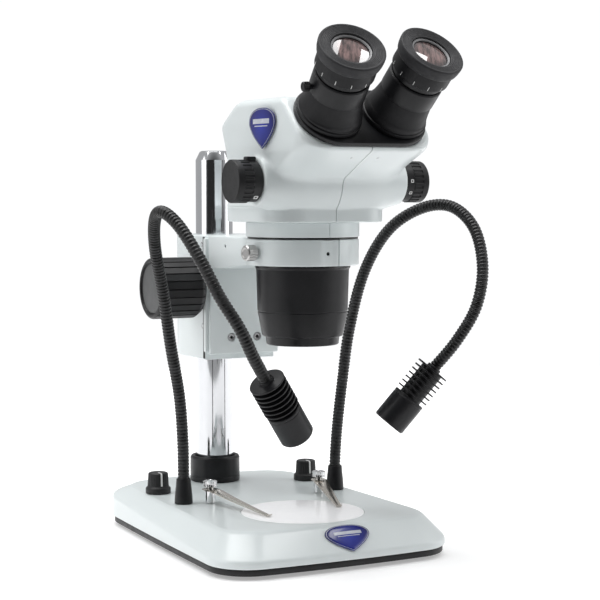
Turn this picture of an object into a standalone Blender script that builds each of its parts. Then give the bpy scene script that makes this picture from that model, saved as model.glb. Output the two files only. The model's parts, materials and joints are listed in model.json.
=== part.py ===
"""Stereo zoom microscope on a pillar stand, with two gooseneck lamps rooted in its base.

Metres, +Z up, -Y towards the user. The lengths below are millimetres in a layout frame whose
origin lies under the viewing axis, and at() moves them into the part's frame.
"""

import math

import bpy
import bmesh
from mathutils import Matrix, Quaternion, Vector

MM = 0.001
OPTICAL_Y = -32.0  # where the viewing axis stands, so that the part is centred on its frame
GAP = 0.3  # clearance between neighbouring pieces

# base
PLATEAU_Z = 32.5
SEAM_Z = 8.0
STAGE_R = 48.7
PILLAR_Y, PILLAR_R, PILLAR_TOP = 165.0, 16.0, 320.0
NECK_ROOT = (70.0, 74.0)
DIMMER = (70.0, 127.0)
CLIP_POST = (50.0, 66.0)

# focus block and carriage
BLOCK_Z = (144.0, 248.0)
BLOCK_FRONT, BLOCK_HALF = 114.0, 32.0
PINION_Y, PINION_Z = 118.2, 205.0
MODULE, PINION_TEETH = 1.0, 10

# head
RING_Z = (228.0, 247.0)
RING_R, RING_BORE = 44.0, 38.0
HEAD_Z, HEAD_TOP = 261.6, 354.0
EYE_PLANE = 426.0  # the sloping face is where z - y has this value
EYE_SPREAD = math.radians(5.0)
ZOOM_Y, ZOOM_Z, ZOOM_FACE = -40.5, 292.5, 81.6

PAINT = (0.80, 0.83, 0.83, 0.35, 0.0)
BLACK = (0.02, 0.02, 0.021, 0.45, 0.0)
RUBBER = (0.018, 0.018, 0.018, 0.75, 0.0)
CHROME = (0.75, 0.76, 0.78, 0.12, 1.0)
STEEL = (0.55, 0.54, 0.52, 0.28, 1.0)
OPAL = (0.86, 0.86, 0.88, 0.4, 0.0)
BLUE = (0.02, 0.03, 0.30, 0.2, 0.2)
GLASS = (0.35, 0.30, 0.32, 0.05, 0.0)
BOARD = (0.02, 0.16, 0.06, 0.5, 0.0)

NORMAL = Vector((0.0, -1.0, 1.0)).normalized()  # out of the sloping face
UPSLOPE = Vector((0.0, 1.0, 1.0)).normalized()


def at(x, y, z):
    return Vector((x, y + OPTICAL_Y, z)) * MM


# ------------------------------------------------------------------ scene and materials

def clear_scene():
    for obj in list(bpy.data.objects):
        bpy.data.objects.remove(obj, do_unlink=True)
    root = bpy.context.scene.collection
    parts = bpy.data.collections.new("stereo_microscope")
    cutters = bpy.data.collections.new("cutters")
    root.children.link(parts)
    root.children.link(cutters)
    return parts, cutters


def material(name, look):
    red, green, blue, rough, metal = look
    mat = bpy.data.materials.new(name)
    mat.use_nodes = True
    shader = mat.node_tree.nodes["Principled BSDF"]
    shader.inputs["Base Color"].default_value = (red, green, blue, 1.0)
    shader.inputs["Roughness"].default_value = rough
    shader.inputs["Metallic"].default_value = metal
    return mat


def add(name, mesh, look, place=(0.0, 0.0, 0.0), turn=None):
    """A visible piece, or a cutter when look is None. place is in layout millimetres."""
    obj = bpy.data.objects.new(name, mesh)
    obj.location = at(*place)
    if turn is not None:
        obj.rotation_mode = "QUATERNION"
        obj.rotation_quaternion = turn
    if look is None:
        CUTTERS.objects.link(obj)
        obj.hide_render = True
        obj.display_type = "WIRE"
    else:
        PARTS.objects.link(obj)
        if not mesh.materials:
            mesh.materials.append(material(name, look))
        mesh.shade_smooth()
        mesh.set_sharp_from_angle(angle=math.radians(32))
    return obj


def mesh_from(name, points, faces):
    mesh = bpy.data.meshes.new(name)
    mesh.from_pydata([Vector(p) * MM for p in points], [], faces)
    work = bmesh.new()
    work.from_mesh(mesh)
    bmesh.ops.recalc_face_normals(work, faces=work.faces)
    work.to_mesh(mesh)
    work.free()
    return mesh


def aim(direction, roll=0.0):
    """A rotation that takes +Z to the direction."""
    return Vector(direction).to_track_quat("Z", "Y") @ Quaternion((0, 0, 1), roll)


# ------------------------------------------------------------------ basic shapes

def turned(name, profile, look, place, direction=(0, 0, 1), steps=24, roll=0.0):
    """A solid of revolution. The profile is (radius, height) down the outside, then up any bore."""
    mesh = bpy.data.meshes.new(name)
    points = [Vector((r, 0.0, h)) * MM for r, h in profile]
    edges = [(i, i + 1) for i in range(len(points) - 1)]
    if profile[0][0] > 0:
        edges.append((len(points) - 1, 0))
    mesh.from_pydata(points, edges, [])
    obj = add(name, mesh, look, place, aim(direction, roll))
    screw = obj.modifiers.new("turn", "SCREW")
    screw.axis = "Z"
    screw.angle = 2 * math.pi
    screw.steps = screw.render_steps = steps
    screw.use_merge_vertices = True
    screw.merge_threshold = 0.00001
    screw.use_smooth_shade = True
    return obj


def rod(name, radius, low, high, look, place, direction=(0, 0, 1), steps=16):
    work = bmesh.new()
    bmesh.ops.create_cone(
        work, cap_ends=True, segments=steps, radius1=radius * MM, radius2=radius * MM,
        depth=(high - low) * MM,
        matrix=Matrix.Translation((0, 0, (low + high) / 2 * MM)),
    )
    mesh = bpy.data.meshes.new(name)
    work.to_mesh(mesh)
    work.free()
    return add(name, mesh, look, place, aim(direction))


def box(name, size, look, place, turn=None):
    """A box of the size, centred on the place."""
    work = bmesh.new()
    bmesh.ops.create_cube(work, size=1.0, matrix=Matrix.Diagonal((*(Vector(size) * MM), 1.0)))
    mesh = bpy.data.meshes.new(name)
    work.to_mesh(mesh)
    work.free()
    return add(name, mesh, look, place, turn)


def loft(name, sections, look, place=(0.0, 0.0, 0.0), turn=None):
    """A closed solid through rings of equal point counts, capped at both ends."""
    count = len(sections[0])
    points = [p for ring in sections for p in ring]
    faces = [tuple(reversed(range(count)))]
    for k in range(len(sections) - 1):
        a, b = k * count, (k + 1) * count
        for i in range(count):
            j = (i + 1) % count
            faces.append((a + i, a + j, b + j, b + i))
    last = (len(sections) - 1) * count
    faces.append(tuple(range(last, last + count)))
    return add(name, mesh_from(name, points, faces), look, place, turn)


def slab(name, outline, thickness, look, place=(0.0, 0.0, 0.0), turn=None):
    """A flat outline, extruded from its plane by the thickness."""
    return loft(name, [[(x, y, z) for x, y in outline] for z in (0.0, thickness)],
                look, place, turn)


def boolean(obj, operation, *others):
    for other in others:
        modifier = obj.modifiers.new(other.name, "BOOLEAN")
        modifier.operation = operation
        modifier.object = other


def hang(label, place, names):
    """An empty on a joint's axis. It carries the pieces that move with that joint."""
    empty = bpy.data.objects.new(label, None)
    empty.location = at(*place)
    empty.empty_display_size = 0.01
    PARTS.objects.link(empty)
    for name in names:
        piece = PARTS.objects[name]
        piece.parent = empty
        piece.matrix_parent_inverse = Matrix.Translation(-at(*place))


def rounded(half_x, low_y, high_y, radius, per_corner=4):
    """A rounded rectangle, anticlockwise from the +X side of its front edge."""
    outline = []
    for cx, cy, start in (
        (half_x - radius, low_y + radius, -90), (half_x - radius, high_y - radius, 0),
        (-half_x + radius, high_y - radius, 90), (-half_x + radius, low_y + radius, 180),
    ):
        for k in range(per_corner + 1):
            angle = math.radians(start + 90 * k / per_corner)
            outline.append((cx + radius * math.cos(angle), cy + radius * math.sin(angle)))
    return outline


# ------------------------------------------------------------------ base

def base_outline(inset_front, inset_side, inset_back):
    """The base's plan: four bowed sides that narrow a little towards the back."""
    half, low, high = 99.5 - inset_side, -71.0 + inset_front, 192.0 - inset_back
    radius = 31.0 - 0.4 * inset_side
    outline = []
    for x, y in rounded(half, low, high, radius, 5):
        along = (y - low) / (high - low)
        x *= 1.025 - 0.085 * along + 0.012 * math.sin(math.pi * along)
        bow = 1.0 - (x / (half * 1.02)) ** 2
        y += (-5.0 if along < 0.5 else 13.0) * max(bow, 0.0) * abs(2 * along - 1) ** 0.5
        outline.append((x, y))
    # points on the long front and back edges carry the bow
    dense = []
    for i, (x, y) in enumerate(outline):
        dense.append((x, y))
        nx, ny = outline[(i + 1) % len(outline)]
        if abs(nx - x) > 40:
            edge = -5.0 if y < 60 else 13.0
            for k in range(1, 6):
                px = x + (nx - x) * k / 6
                py = (low if y < 60 else high) + edge * (1 - (px / (half * 1.02)) ** 2)
                dense.append((px, py))
        elif abs(ny - y) > 60:
            for k in range(1, 3):
                t = k / 3
                dense.append((x + (nx - x) * t + math.copysign(1.2, x), y + (ny - y) * t))
    return dense


def wall_top(y):
    """The upright wall is low at the front and tall at the back."""
    return 13.5 + 13.5 * min(max((y + 60.0) / 240.0, 0.0), 1.0)


def base_sections():
    def ring(front, side, back, height):
        return [(x, y, height(y) if callable(height) else height)
                for x, y in base_outline(front, side, back)]
    return [
        ring(1.0, 1.0, 1.0, SEAM_Z), ring(0.0, 0.0, 0.0, SEAM_Z + 1.2),
        ring(0.0, 0.0, 0.0, wall_top),
        ring(2.2, 2.0, 1.2, lambda y: wall_top(y) + 2.6),
        ring(17.0, 13.0, 4.6, PLATEAU_Z - 1.4),
        ring(20.5, 16.5, 8.0, PLATEAU_Z),
    ]


def make_base():
    shell = loft("base_shell", base_sections(), PAINT)
    cavity = loft("base_cavity_cut", [
        [(x, y, z) for x, y in base_outline(front, side, back)]
        for front, side, back, z in ((4, 4, 4, 0.0), (4.5, 4.5, 4.5, 12.0), (20, 18, 8, 25.0))
    ], None)
    recess = rod("stage_recess_cut", STAGE_R + GAP, 28.2, 40, None, (0, 0, 0), steps=28)
    holes = [rod("pillar_stud_cut", 6.4, 20, 40, None, (0, PILLAR_Y, 0), steps=12),
             rod("inlet_cut", 5.6, -4, 30, None, (48, 182, 18.5), (0, 1, 0), steps=12)]
    for side in (-1, 1):
        for label, (x, y), radius in (
            ("neck", NECK_ROOT, 3.0), ("dimmer", DIMMER, 3.6), ("clip", CLIP_POST, 2.6),
        ):
            holes.append(rod(f"{label}_cut_{side}", radius, 20, 40, None, (side * x, y, 0),
                             steps=10))
    boolean(shell, "DIFFERENCE", cavity, recess, *holes)

    loft("bottom_plate", [
        [(x, y, z) for x, y in base_outline(inset, inset, inset)]
        for inset, z in ((4.0, 2.8), (1.8, 4.2), (1.8, SEAM_Z - GAP))
    ], BLACK)
    for label, x, y in (("front_left", -74, -42), ("front_right", 74, -42),
                        ("back_left", -70, 170), ("back_right", 70, 170)):
        turned(f"foot_{label}", [(0, 2.5), (9, 2.5), (8, 0), (0, 0)], RUBBER, (x, y, 0),
               steps=14)
    turned("stage_plate", [(0, PLATEAU_Z), (STAGE_R - 0.5, PLATEAU_Z), (STAGE_R, PLATEAU_Z - 0.5),
                           (STAGE_R, 28.5), (0, 28.5)], OPAL, (0, 0, 0), steps=28)


def make_pillar():
    top = PILLAR_TOP
    turned("pillar", [
        (0, top), (11, top), (12.5, top - 1), (PILLAR_R, top - 8), (PILLAR_R, PLATEAU_Z + GAP),
        (6, PLATEAU_Z + GAP), (6, 12), (0, 12),
    ], CHROME, (0, PILLAR_Y, 0), steps=24)
    turned("pillar_collar", [
        (19.5, 55), (21, 54.2), (21.6, 52.5), (21.6, PLATEAU_Z + GAP),
        (PILLAR_R + GAP, PLATEAU_Z + GAP), (PILLAR_R + GAP, 52.6),
    ], BLACK, (0, PILLAR_Y, 0), steps=20)
    nut = rod("pillar_nut", 11.0, 15.5, 24.6, STEEL, (0, PILLAR_Y, 0), steps=6)
    boolean(nut, "DIFFERENCE", rod("nut_cut", 6.3, 10, 30, None, (0, PILLAR_Y, 0), steps=12))


def make_base_fittings():
    # power inlet in the back wall, and the lamps' driver board under the plateau
    inlet_y = 182.0
    turned("power_inlet", [
        (0, 14.0), (3.2, 14.0), (3.2, 25.2), (7.2, 25.2), (7.2, 23.6), (5.2, 23.6), (5.2, 6),
        (0, 6),
    ], BLACK, (48, inlet_y, 18.5), (0, 1, 0), steps=12)
    box("lamp_driver_board", (56, 34, 1.6), BOARD, (0, 112, 13.0))
    for side, label in ((-1, "left"), (1, "right")):
        x, y = CLIP_POST
        turned(f"clip_screw_{label}", [
            (0, 51.5), (3.2, 51.5), (5.6, 50.6), (5.6, 46.2), (2.5, 45.4), (2.5, 42.9),
            (3.5, 42.5), (3.5, PLATEAU_Z + GAP), (2.2, PLATEAU_Z + GAP), (2.2, 26), (0, 26),
        ], CHROME, (side * x, y, 0), steps=10)
        x, y = DIMMER
        turned(f"dimmer_knob_{label}", [
            (0, 50.0), (7.4, 50.0), (8.4, 49.0), (9.0, 38.4), (10.5, 37.6),
            (10.5, PLATEAU_Z + GAP), (3.1, PLATEAU_Z + GAP), (3.1, 27), (0, 27),
        ], BLACK, (side * x, y, 0), steps=14)
        clip_leaf(side, label)


def clip_leaf(side, label):
    """A tapered spring leaf from its post to a curled tip that rests on the stage."""
    x, y = CLIP_POST
    tip = Vector((side * 33.3, -5.0 + 4.5 * side))
    run = tip - Vector((side * x, y))
    length = run.length
    stations = [(-5.5, 0.0, 4.0), (-2.5, 0.0, 6.0), (5.5, 0.0, 6.0), (length * 0.35, -3.6, 4.6),
                (length * 0.78, -8.6, 2.9), (length - 4, -10.3, 2.2), (length, -9.4, 1.9)]
    rings = []
    for along, rise, half in stations:
        rings.append([(along, -half, rise), (along, half, rise),
                      (along, half, rise + 0.7), (along, -half, rise + 0.7)])
    turn = Quaternion((0, 0, 1), math.atan2(run.y, run.x))
    leaf = loft(f"clip_leaf_{label}", rings, STEEL, (side * x, y, 43.3), turn)
    hole = rod(f"leaf_cut_{side}", 2.85, 40, 46, None, (side * x, y, 0), steps=12)
    boolean(leaf, "DIFFERENCE", hole)


def pick_outline(half_width, height, count=18):
    """A rounded triangle, wide at the top and pointed down, in its own plane."""
    outline = []
    for k in range(count):
        angle = 2 * math.pi * k / count
        radius = 1.0 + 0.13 * math.cos(3 * (angle + math.pi / 2))
        outline.append((radius * math.cos(angle), radius * math.sin(angle)))
    wide = max(abs(x) for x, _ in outline)
    low, high = min(y for _, y in outline), max(y for _, y in outline)
    return [(x / wide * half_width, (y - low) / (high - low) * height - height / 2)
            for x, y in outline]


def badge(name, half_width, height, place, across, up):
    across, up = Vector(across).normalized(), Vector(up).normalized()
    turn = Matrix((across, up, across.cross(up))).transposed().to_quaternion()
    rim = pick_outline(half_width, height)
    sections = [[(x * k, y * k, z) for x, y in rim] for k, z in ((1, 0), (1, 0.9), (0.8, 1.6))]
    loft(name, sections, BLUE, place, turn)


# ------------------------------------------------------------------ goosenecks and lamps

# Where each neck runs, from its root in the base to the back of its lamp.
NECK_ROUTE = {
    "left": [(-70, 74, 33), (-70, 74, 56), (-71.5, 72, 86), (-76.5, 67, 122), (-88, 57, 163),
             (-100, 43, 205), (-115, 23, 241), (-124, 2, 263.5), (-126.5, -18, 270),
             (-121, -36, 260), (-111, -51, 236), (-100, -61, 209), (-86, -66, 185),
             (-74, -63, 164), (-62, -58, 147)],
    "right": [(70, 74, 33), (70, 74, 56), (71, 72, 86), (73, 67, 125), (76, 60, 170),
              (82, 46, 218), (92, 24, 253), (108, 0, 271), (122, -24, 273), (129, -47, 256),
              (128, -61, 226), (121, -63, 195), (109, -54, 168), (96, -43, 147)],
}
NECK_BEND = {"left": 8, "right": 7}  # the route point where the upper neck bends
NECK_R = 4.8
LAMP = {
    "left": (Vector((-62.0, -58.0, 147.0)), Vector((0.571, 0.207, -0.794)).normalized()),
    "right": (Vector((96.0, -43.0, 147.0)), Vector((-0.587, 0.251, -0.770)).normalized()),
}


def smooth_route(points, per_span=2):
    """A curve through all of the points."""
    pts = [Vector(p) for p in points]
    ends = [2 * pts[0] - pts[1], *pts, 2 * pts[-1] - pts[-2]]
    route = []
    for i in range(1, len(ends) - 2):
        a, b, c, d = ends[i - 1:i + 3]
        for k in range(per_span):
            u = k / per_span
            route.append(0.5 * (2 * b + (c - a) * u + (2 * a - 5 * b + 4 * c - d) * u * u
                                + (3 * b - a - 3 * c + d) * u ** 3))
    route.append(pts[-1])
    return route


def tube(name, points, radius, look, origin):
    """A round bar along the points, as a curve with a bevel. Its origin is the joint's place."""
    curve = bpy.data.curves.new(name, "CURVE")
    curve.dimensions = "3D"
    curve.bevel_depth = radius * MM
    curve.bevel_resolution = 2
    curve.use_fill_caps = True
    spline = curve.splines.new("POLY")
    spline.points.add(len(points) - 1)
    for slot, point in zip(spline.points, points):
        slot.co = (*((Vector(point) - Vector(origin)) * MM), 1.0)
    curve.materials.append(material(name, look))
    obj = bpy.data.objects.new(name, curve)
    obj.location = at(*origin)
    PARTS.objects.link(obj)
    return obj


def make_neck(label):
    side = -1 if label == "left" else 1
    x, y = NECK_ROOT
    turned(f"neck_boot_{label}", [
        (6.0, 53.0), (6.4, 49), (6.8, 38), (7.4, PLATEAU_Z + GAP),
        (NECK_R + 0.4, PLATEAU_Z + GAP), (NECK_R + 0.4, 53.0),
    ], RUBBER, (side * x, y, 0), steps=12)
    route = smooth_route(NECK_ROUTE[label])
    bend = 2 * NECK_BEND[label]
    joint = route[bend]
    below, above = route[:bend], route[bend + 1:]
    ahead = (above[0] - below[-1]).normalized()
    tube(f"neck_lower_{label}", [*below, joint - ahead * 2.4], NECK_R, BLACK,
         (side * x, y, PLATEAU_Z))
    top, aim_at = LAMP[label]
    tube(f"neck_upper_{label}", [joint + ahead * 2.4, *above[:-1], top, top + aim_at * 7],
         NECK_R, BLACK, tuple(joint))
    profile = [(NECK_R + 0.4, 0), (9.5, 0), (9.5, -3.0)]
    for k in range(7):
        h = -3.0 - 4.1 * k
        profile += [(14, h), (14, h - 1.3), (9.5, h - 1.3), (9.5, h - 4.1)]
    profile += [(13.4, -31.7), (13.4, -57.5), (12.6, -58.5), (10.2, -58.5), (9.4, -55.5),
                (0, -55.5)]
    seat = [(0, -8.0), (NECK_R + 0.4, -8.0)]
    turned(f"lamp_{label}", seat + profile, BLACK, tuple(top), tuple(-aim_at), steps=10)


# ------------------------------------------------------------------ focus block

def block_outline():
    outline = [(BLOCK_HALF, BLOCK_FRONT)]
    reach, radius = PILLAR_Y, BLOCK_HALF
    for k in range(13):
        angle = math.pi * k / 12
        outline.append((radius * math.cos(angle), reach + 1.05 * radius * math.sin(angle)))
    outline.append((-BLOCK_HALF, BLOCK_FRONT))
    return outline


def make_block():
    low, high = BLOCK_Z
    block = slab("focus_housing", block_outline(), high - low, PAINT, (0, 0, low))
    bore = rod("pillar_cut", PILLAR_R + GAP, 100, 300, None, (0, PILLAR_Y, 0), steps=24)
    shaft = rod("pinion_cut", 3.4, -60, 60, None, (0, PINION_Y, PINION_Z), (1, 0, 0), 12)
    pocket = box("pinion_pocket_cut", (13, 16, 15), None, (0, PINION_Y, PINION_Z))
    clamp = rod("clamp_cut", 3.4, 0, 40, None, (0, PILLAR_Y + 10, 196), (0, 1, 0), 12)
    boolean(block, "DIFFERENCE", bore, shaft, pocket, clamp)
    turned("block_clamp_knob", [
        (0, 52.5), (9.5, 52.5), (13, 50.0), (13, 38), (7, 34.9), (3, 34.4), (3, 17), (0, 17),
    ], BLACK, (0, PILLAR_Y, 196), (0, 1, 0), steps=10)


def pinion_outline():
    outline = []
    pitch = MODULE * PINION_TEETH / 2
    for k in range(PINION_TEETH):
        centre = math.radians(-90) + 2 * math.pi * k / PINION_TEETH
        for radius, half in ((pitch - 0.85, -0.80), (pitch + 0.5, -0.34),
                             (pitch + 0.5, 0.34), (pitch - 0.85, 0.80)):
            angle = centre + half / radius
            outline.append((radius * math.cos(angle), radius * math.sin(angle)))
    return outline


def make_focus_drive():
    # local x runs along +Y, local y along +Z, local z along +X; at rest a tooth points along -Y
    quarter = Matrix(((0, 0, 1), (1, 0, 0), (0, 1, 0))).to_quaternion()
    gear = [(y, x) for x, y in pinion_outline()]
    pinion = slab("pinion_shaft", gear, 8.4, CHROME, (-4.2, PINION_Y, PINION_Z), quarter)
    core = rod("pinion_core", 3.0, -60.0, 71.0, None, (0, PINION_Y, PINION_Z), (1, 0, 0), 12)
    boolean(pinion, "UNION", core)
    for side, label in ((-1, "left"), (1, "right")):
        deep = 71.5 if side > 0 else 60.5
        turned(f"focus_knob_{label}", [
            (0, 79.0), (21.0, 79.0), (21.4, 79.8), (24.0, 79.8), (25.5, 78.3), (25.5, 42.5),
            (22.0, 38.4), (10.0, 38.0), (10.0, 34.6), (3.3, 34.6), (3.3, deep), (0, deep),
        ], BLACK, (0, PINION_Y, PINION_Z), (side, 0, 0), steps=20)


def make_carriage():
    slide = box("carriage_plate", (68, 5.0, 95), PAINT, (0, 111.2, 198.5))
    groove = box("rack_groove_cut", (9.6, 4.5, 120), None, (0, 112.25, 198.5))
    screws = []
    for side, label in ((-1, "left"), (1, "right")):
        x, z = side * 12.0, 163.0
        screws.append(rod(f"screw_cut_{side}", 2.0, 102, 112.6, None, (x, 0, z), (0, 1, 0), 10))
        turned(f"carriage_screw_{label}", [
            (0, -106.2), (1.6, -106.2), (1.6, -104.9), (3.3, -104.9), (3.3, -107.7),
            (1.7, -107.7), (1.7, -112.0), (0, -112.0),
        ], STEEL, (x, 0, z), (0, -1, 0), steps=10)
    boolean(slide, "DIFFERENCE", groove, *screws)
    make_rack()
    make_ring_arm(screws)


def make_rack():
    """Teeth towards the pinion, with a space opposite its tooth at rest."""
    pitch = math.pi * MODULE
    root, tip, back = 112.2, 113.6, 110.3
    low, high = 172.0, 234.0
    outline = [(back, low), (root, low)]
    first = math.ceil((low + 1.2 - PINION_Z) / pitch - 0.5)
    last = math.floor((high - 1.2 - PINION_Z) / pitch - 0.5)
    for k in range(first, last + 1):
        z = PINION_Z + (k + 0.5) * pitch
        outline += [(root, z - 0.90), (tip, z - 0.38), (tip, z + 0.38), (root, z + 0.90)]
    outline += [(root, high), (back, high)]
    turn = Matrix(((0, 0, 1), (1, 0, 0), (0, 1, 0))).to_quaternion()
    slab("focus_rack", outline, 9.0, STEEL, (-4.5, 0, 0), turn)


def make_ring_arm(screws):
    """The head's ring, the web behind it and the plate that bolts to the slide, in one casting."""
    low, high = RING_Z
    arm = box("ring_arm", (63.4, 3.4, 98.6), PAINT, (0, 106.7, 198.4))
    web = loft("arm_web", [
        [(-half, y, under), (half, y, under), (half, y, 247.4), (-half, y, 247.4)]
        for y, half, under in ((25.0, 32.0, 228.4), (60.0, 32.0, 226.0), (106.0, 31.7, 220.0))
    ], None)
    ring = rod("arm_ring", RING_R, low, high, None, (0, 0, 0), steps=32)
    boolean(arm, "UNION", web, ring)
    bore = rod("ring_bore_cut", RING_BORE, 200, 260, None, (0, 0, 0), steps=32)
    flat = box("ring_flat_cut", (40, 4, 60), None, (0, -45.4, 238))
    turn = ring_screw_direction()
    hole = rod("ring_screw_cut", 2.9, 20, 60, None, (0, 0, 238), tuple(turn), 10)
    counter = [rod(f"counterbore_cut_{side}", 3.7, 100, 108.0, None, (side * 12.0, 0, 163.0),
                   (0, 1, 0), 12) for side in (-1, 1)]
    boolean(arm, "DIFFERENCE", bore, flat, hole, *counter, *screws)
    turned("ring_thumbscrew", [
        (0, 54.5), (5.4, 54.5), (6.2, 53.7), (6.2, 46.0), (5.4, 45.2), (2.5, 44.5), (2.5, 38.6),
        (0, 38.6),
    ], CHROME, (0, 0, 238), tuple(turn), steps=14)


def ring_screw_direction():
    angle = math.radians(188)
    return Vector((math.cos(angle), math.sin(angle), 0))


# ------------------------------------------------------------------ head

# height, front, rear, half-width in front, half-width behind, front corner, rear corner
HEAD_SECTIONS = [
    (HEAD_Z, -54.5, 45.0, 51.0, 52.0, 26.0, 22.0),
    (273.0, -54.5, 45.0, 51.0, 52.0, 26.0, 22.0),
    (273.6, -55.0, 40.0, 53.0, 54.0, 26.0, 22.0),
    (282.3, -60.5, 34.0, 54.0, 56.0, 27.0, 20.0),
    (293.4, -64.5, 28.0, 53.0, 58.0, 28.0, 18.0),
    (305.0, -88.0, 23.0, 53.0, 60.0, 27.0, 16.0),
    (316.0, -111.0, 20.0, 54.0, 62.0, 24.0, 14.0),
    (335.0, -118.0, 26.0, 54.0, 63.0, 20.0, 14.0),
    (351.0, -118.0, 4.0, 53.0, 60.0, 20.0, 14.0),
    (HEAD_TOP, -115.0, -3.0, 50.0, 56.0, 18.0, 12.0),
]


def head_ring(section, inset=0.0, per_corner=4):
    """One level of the head: a rounded four-sided plan, narrower in front."""
    z, front, rear, half_front, half_rear, corner_front, corner_rear = section
    front, rear = front + inset, rear - inset
    half_front, half_rear = half_front - inset, half_rear - inset
    ring = []
    for cx, cy, radius, start in (
        (half_front, front, corner_front, -90), (half_rear, rear, corner_rear, 0),
        (-half_rear, rear, corner_rear, 90), (-half_front, front, corner_front, 180),
    ):
        radius = max(radius - inset, 3.0)
        mx = cx - math.copysign(radius, cx)
        my = cy + radius if cy == front else cy - radius
        for k in range(per_corner + 1):
            angle = math.radians(start + 90 * k / per_corner)
            ring.append((mx + radius * math.cos(angle), my + radius * math.sin(angle), z))
    return ring


def make_head_shell(side, label):
    shell = loft(f"head_shell_{label}", [head_ring(s) for s in HEAD_SECTIONS], PAINT)
    boss = turned(f"zoom_boss_{label}", [
        (0, 61.0), (17.5, 61.0), (19.5, 59.5), (20.0, 30), (0, 30),
    ], None, (0, ZOOM_Y, ZOOM_Z), (side, 0, 0), steps=24)
    boolean(shell, "UNION", boss)
    inner = []
    for z, section in ((255.0, 0), (272.0, 1), (292.0, 4), (314.0, 5), (334.0, 7), (349.5, 8)):
        inner.append([(x, y, z) for x, y, _ in head_ring(HEAD_SECTIONS[section], 4.0, 3)])
    cavity = loft(f"head_cavity_cut_{label}", inner, None)
    tilt = aim(NORMAL)
    # the cavity stops short of the sloping face
    keep = box(f"cavity_slope_cut_{label}", (400, 400, 200), None,
               tuple(slope_point(0, 175.7, -4.0) + NORMAL * 100), tilt)
    boolean(cavity, "DIFFERENCE", keep)
    slope = box(f"slope_cut_{label}", (400, 400, 200), None,
                tuple(slope_point(0, 175.7, 0.0) + NORMAL * 100), tilt)
    half = box(f"half_cut_{label}", (200, 400, 300), None, (-side * 100 + side * 0.15, 0, 300))
    shaft = rod(f"zoom_cut_{label}", 3.6, 0, 80, None, (0, ZOOM_Y, ZOOM_Z), (side, 0, 0), 12)
    light = [rod(f"light_cut_{label}", 14.0, -30, 30, None,
                 tuple(slope_point(side * 26.5, 175.7, 0)), tuple(NORMAL), 16)]
    boolean(shell, "DIFFERENCE", cavity, slope, shaft, *light, half)


def slope_point(x, up, out):
    """A point on the sloping face: x, the distance up the slope, and the distance out of it."""
    base = UPSLOPE * up + NORMAL * (EYE_PLANE / math.sqrt(2) + out)
    return Vector((x, base.y, base.z))


def make_head():
    make_head_shell(-1, "left")
    make_head_shell(1, "right")
    turned("mount_flange", [
        (44.0, 261.2), (44.4, 260.8), (44.4, 250.2), (37.6, 249.8), (37.6, 228.9),
        (30.0, 228.9), (30.0, 261.2),
    ], PAINT, (0, 0, 0), steps=24)
    turned("objective_housing", [
        (37.2, 228.5), (37.2, 225.4), (36.6, 224.8), (35.4, 191.5), (31.4, 173.0),
        (28.8, 170.0), (27.8, 165.6), (20.4, 165.6), (20.4, 171.0), (25.0, 173.0),
        (29.5, 190.6), (31.0, 228.5),
    ], BLACK, (0, 0, 0), steps=20)
    turned("front_lens", [(0, 171.6), (20.0, 170.6), (20.0, 168.0), (12, 167.2), (0, 166.8)],
           GLASS, (0, 0, 0), steps=16)
    plate_outline = []
    for sign in (1, -1):
        for k in range(10):
            angle = math.radians(-90 + 180 * k / 9) if sign > 0 else math.radians(
                90 + 180 * k / 9)
            plate_outline.append((sign * 24.0 + 28.8 * math.cos(angle), 28.8 * math.sin(angle)))
    plate = slab("eyepiece_plate", plate_outline, 4.0, BLACK,
                 tuple(slope_point(0, 175.7, GAP)), slope_turn())
    boolean(plate, "DIFFERENCE", *[
        rod(f"plate_cut_{side}", 14.0, -10, 10, None, tuple(slope_point(side * 26.5, 175.7, 0)),
            tuple(NORMAL), 16) for side in (-1, 1)])
    face = Vector((0.08, -1.0, 0)).normalized()
    badge("head_badge", 18.5, 30.0, (-59.7, -50.0, 331.5), tuple(face), (0, 0, 1))


def slope_turn():
    """Local x along +X, local y up the slope, local z out of it."""
    return Matrix((Vector((1, 0, 0)), UPSLOPE, NORMAL)).transposed().to_quaternion()


def make_zoom():
    turned("zoom_shaft", [
        (0, 67.0), (3.1, 67.0), (3.1, 18.0), (12.0, 18.0), (12.0, -18.0), (3.1, -18.0),
        (3.1, -67.0), (0, -67.0),
    ], STEEL, (0, ZOOM_Y, ZOOM_Z), (1, 0, 0), steps=14)
    for side, label in ((-1, "left"), (1, "right")):
        turned(f"zoom_knob_{label}", [
            (0, ZOOM_FACE), (14.6, ZOOM_FACE), (16.1, ZOOM_FACE - 1.4), (16.1, 69.2),
            (15.2, 68.6), (15.2, 61.5), (3.5, 61.5), (3.5, 67.5), (0, 67.5),
        ], BLACK, (0, ZOOM_Y, ZOOM_Z), (side, 0, 0), steps=16)


# ------------------------------------------------------------------ eye tubes

def eye_frame(side):
    """The seam between tube and eyepiece, and the direction towards the eye."""
    spread = math.sin(EYE_SPREAD) * side
    direction = (NORMAL * math.cos(EYE_SPREAD) + Vector((spread, 0, 0))).normalized()
    return Vector((side * 29.9, -113.1, 361.8)), direction


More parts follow.
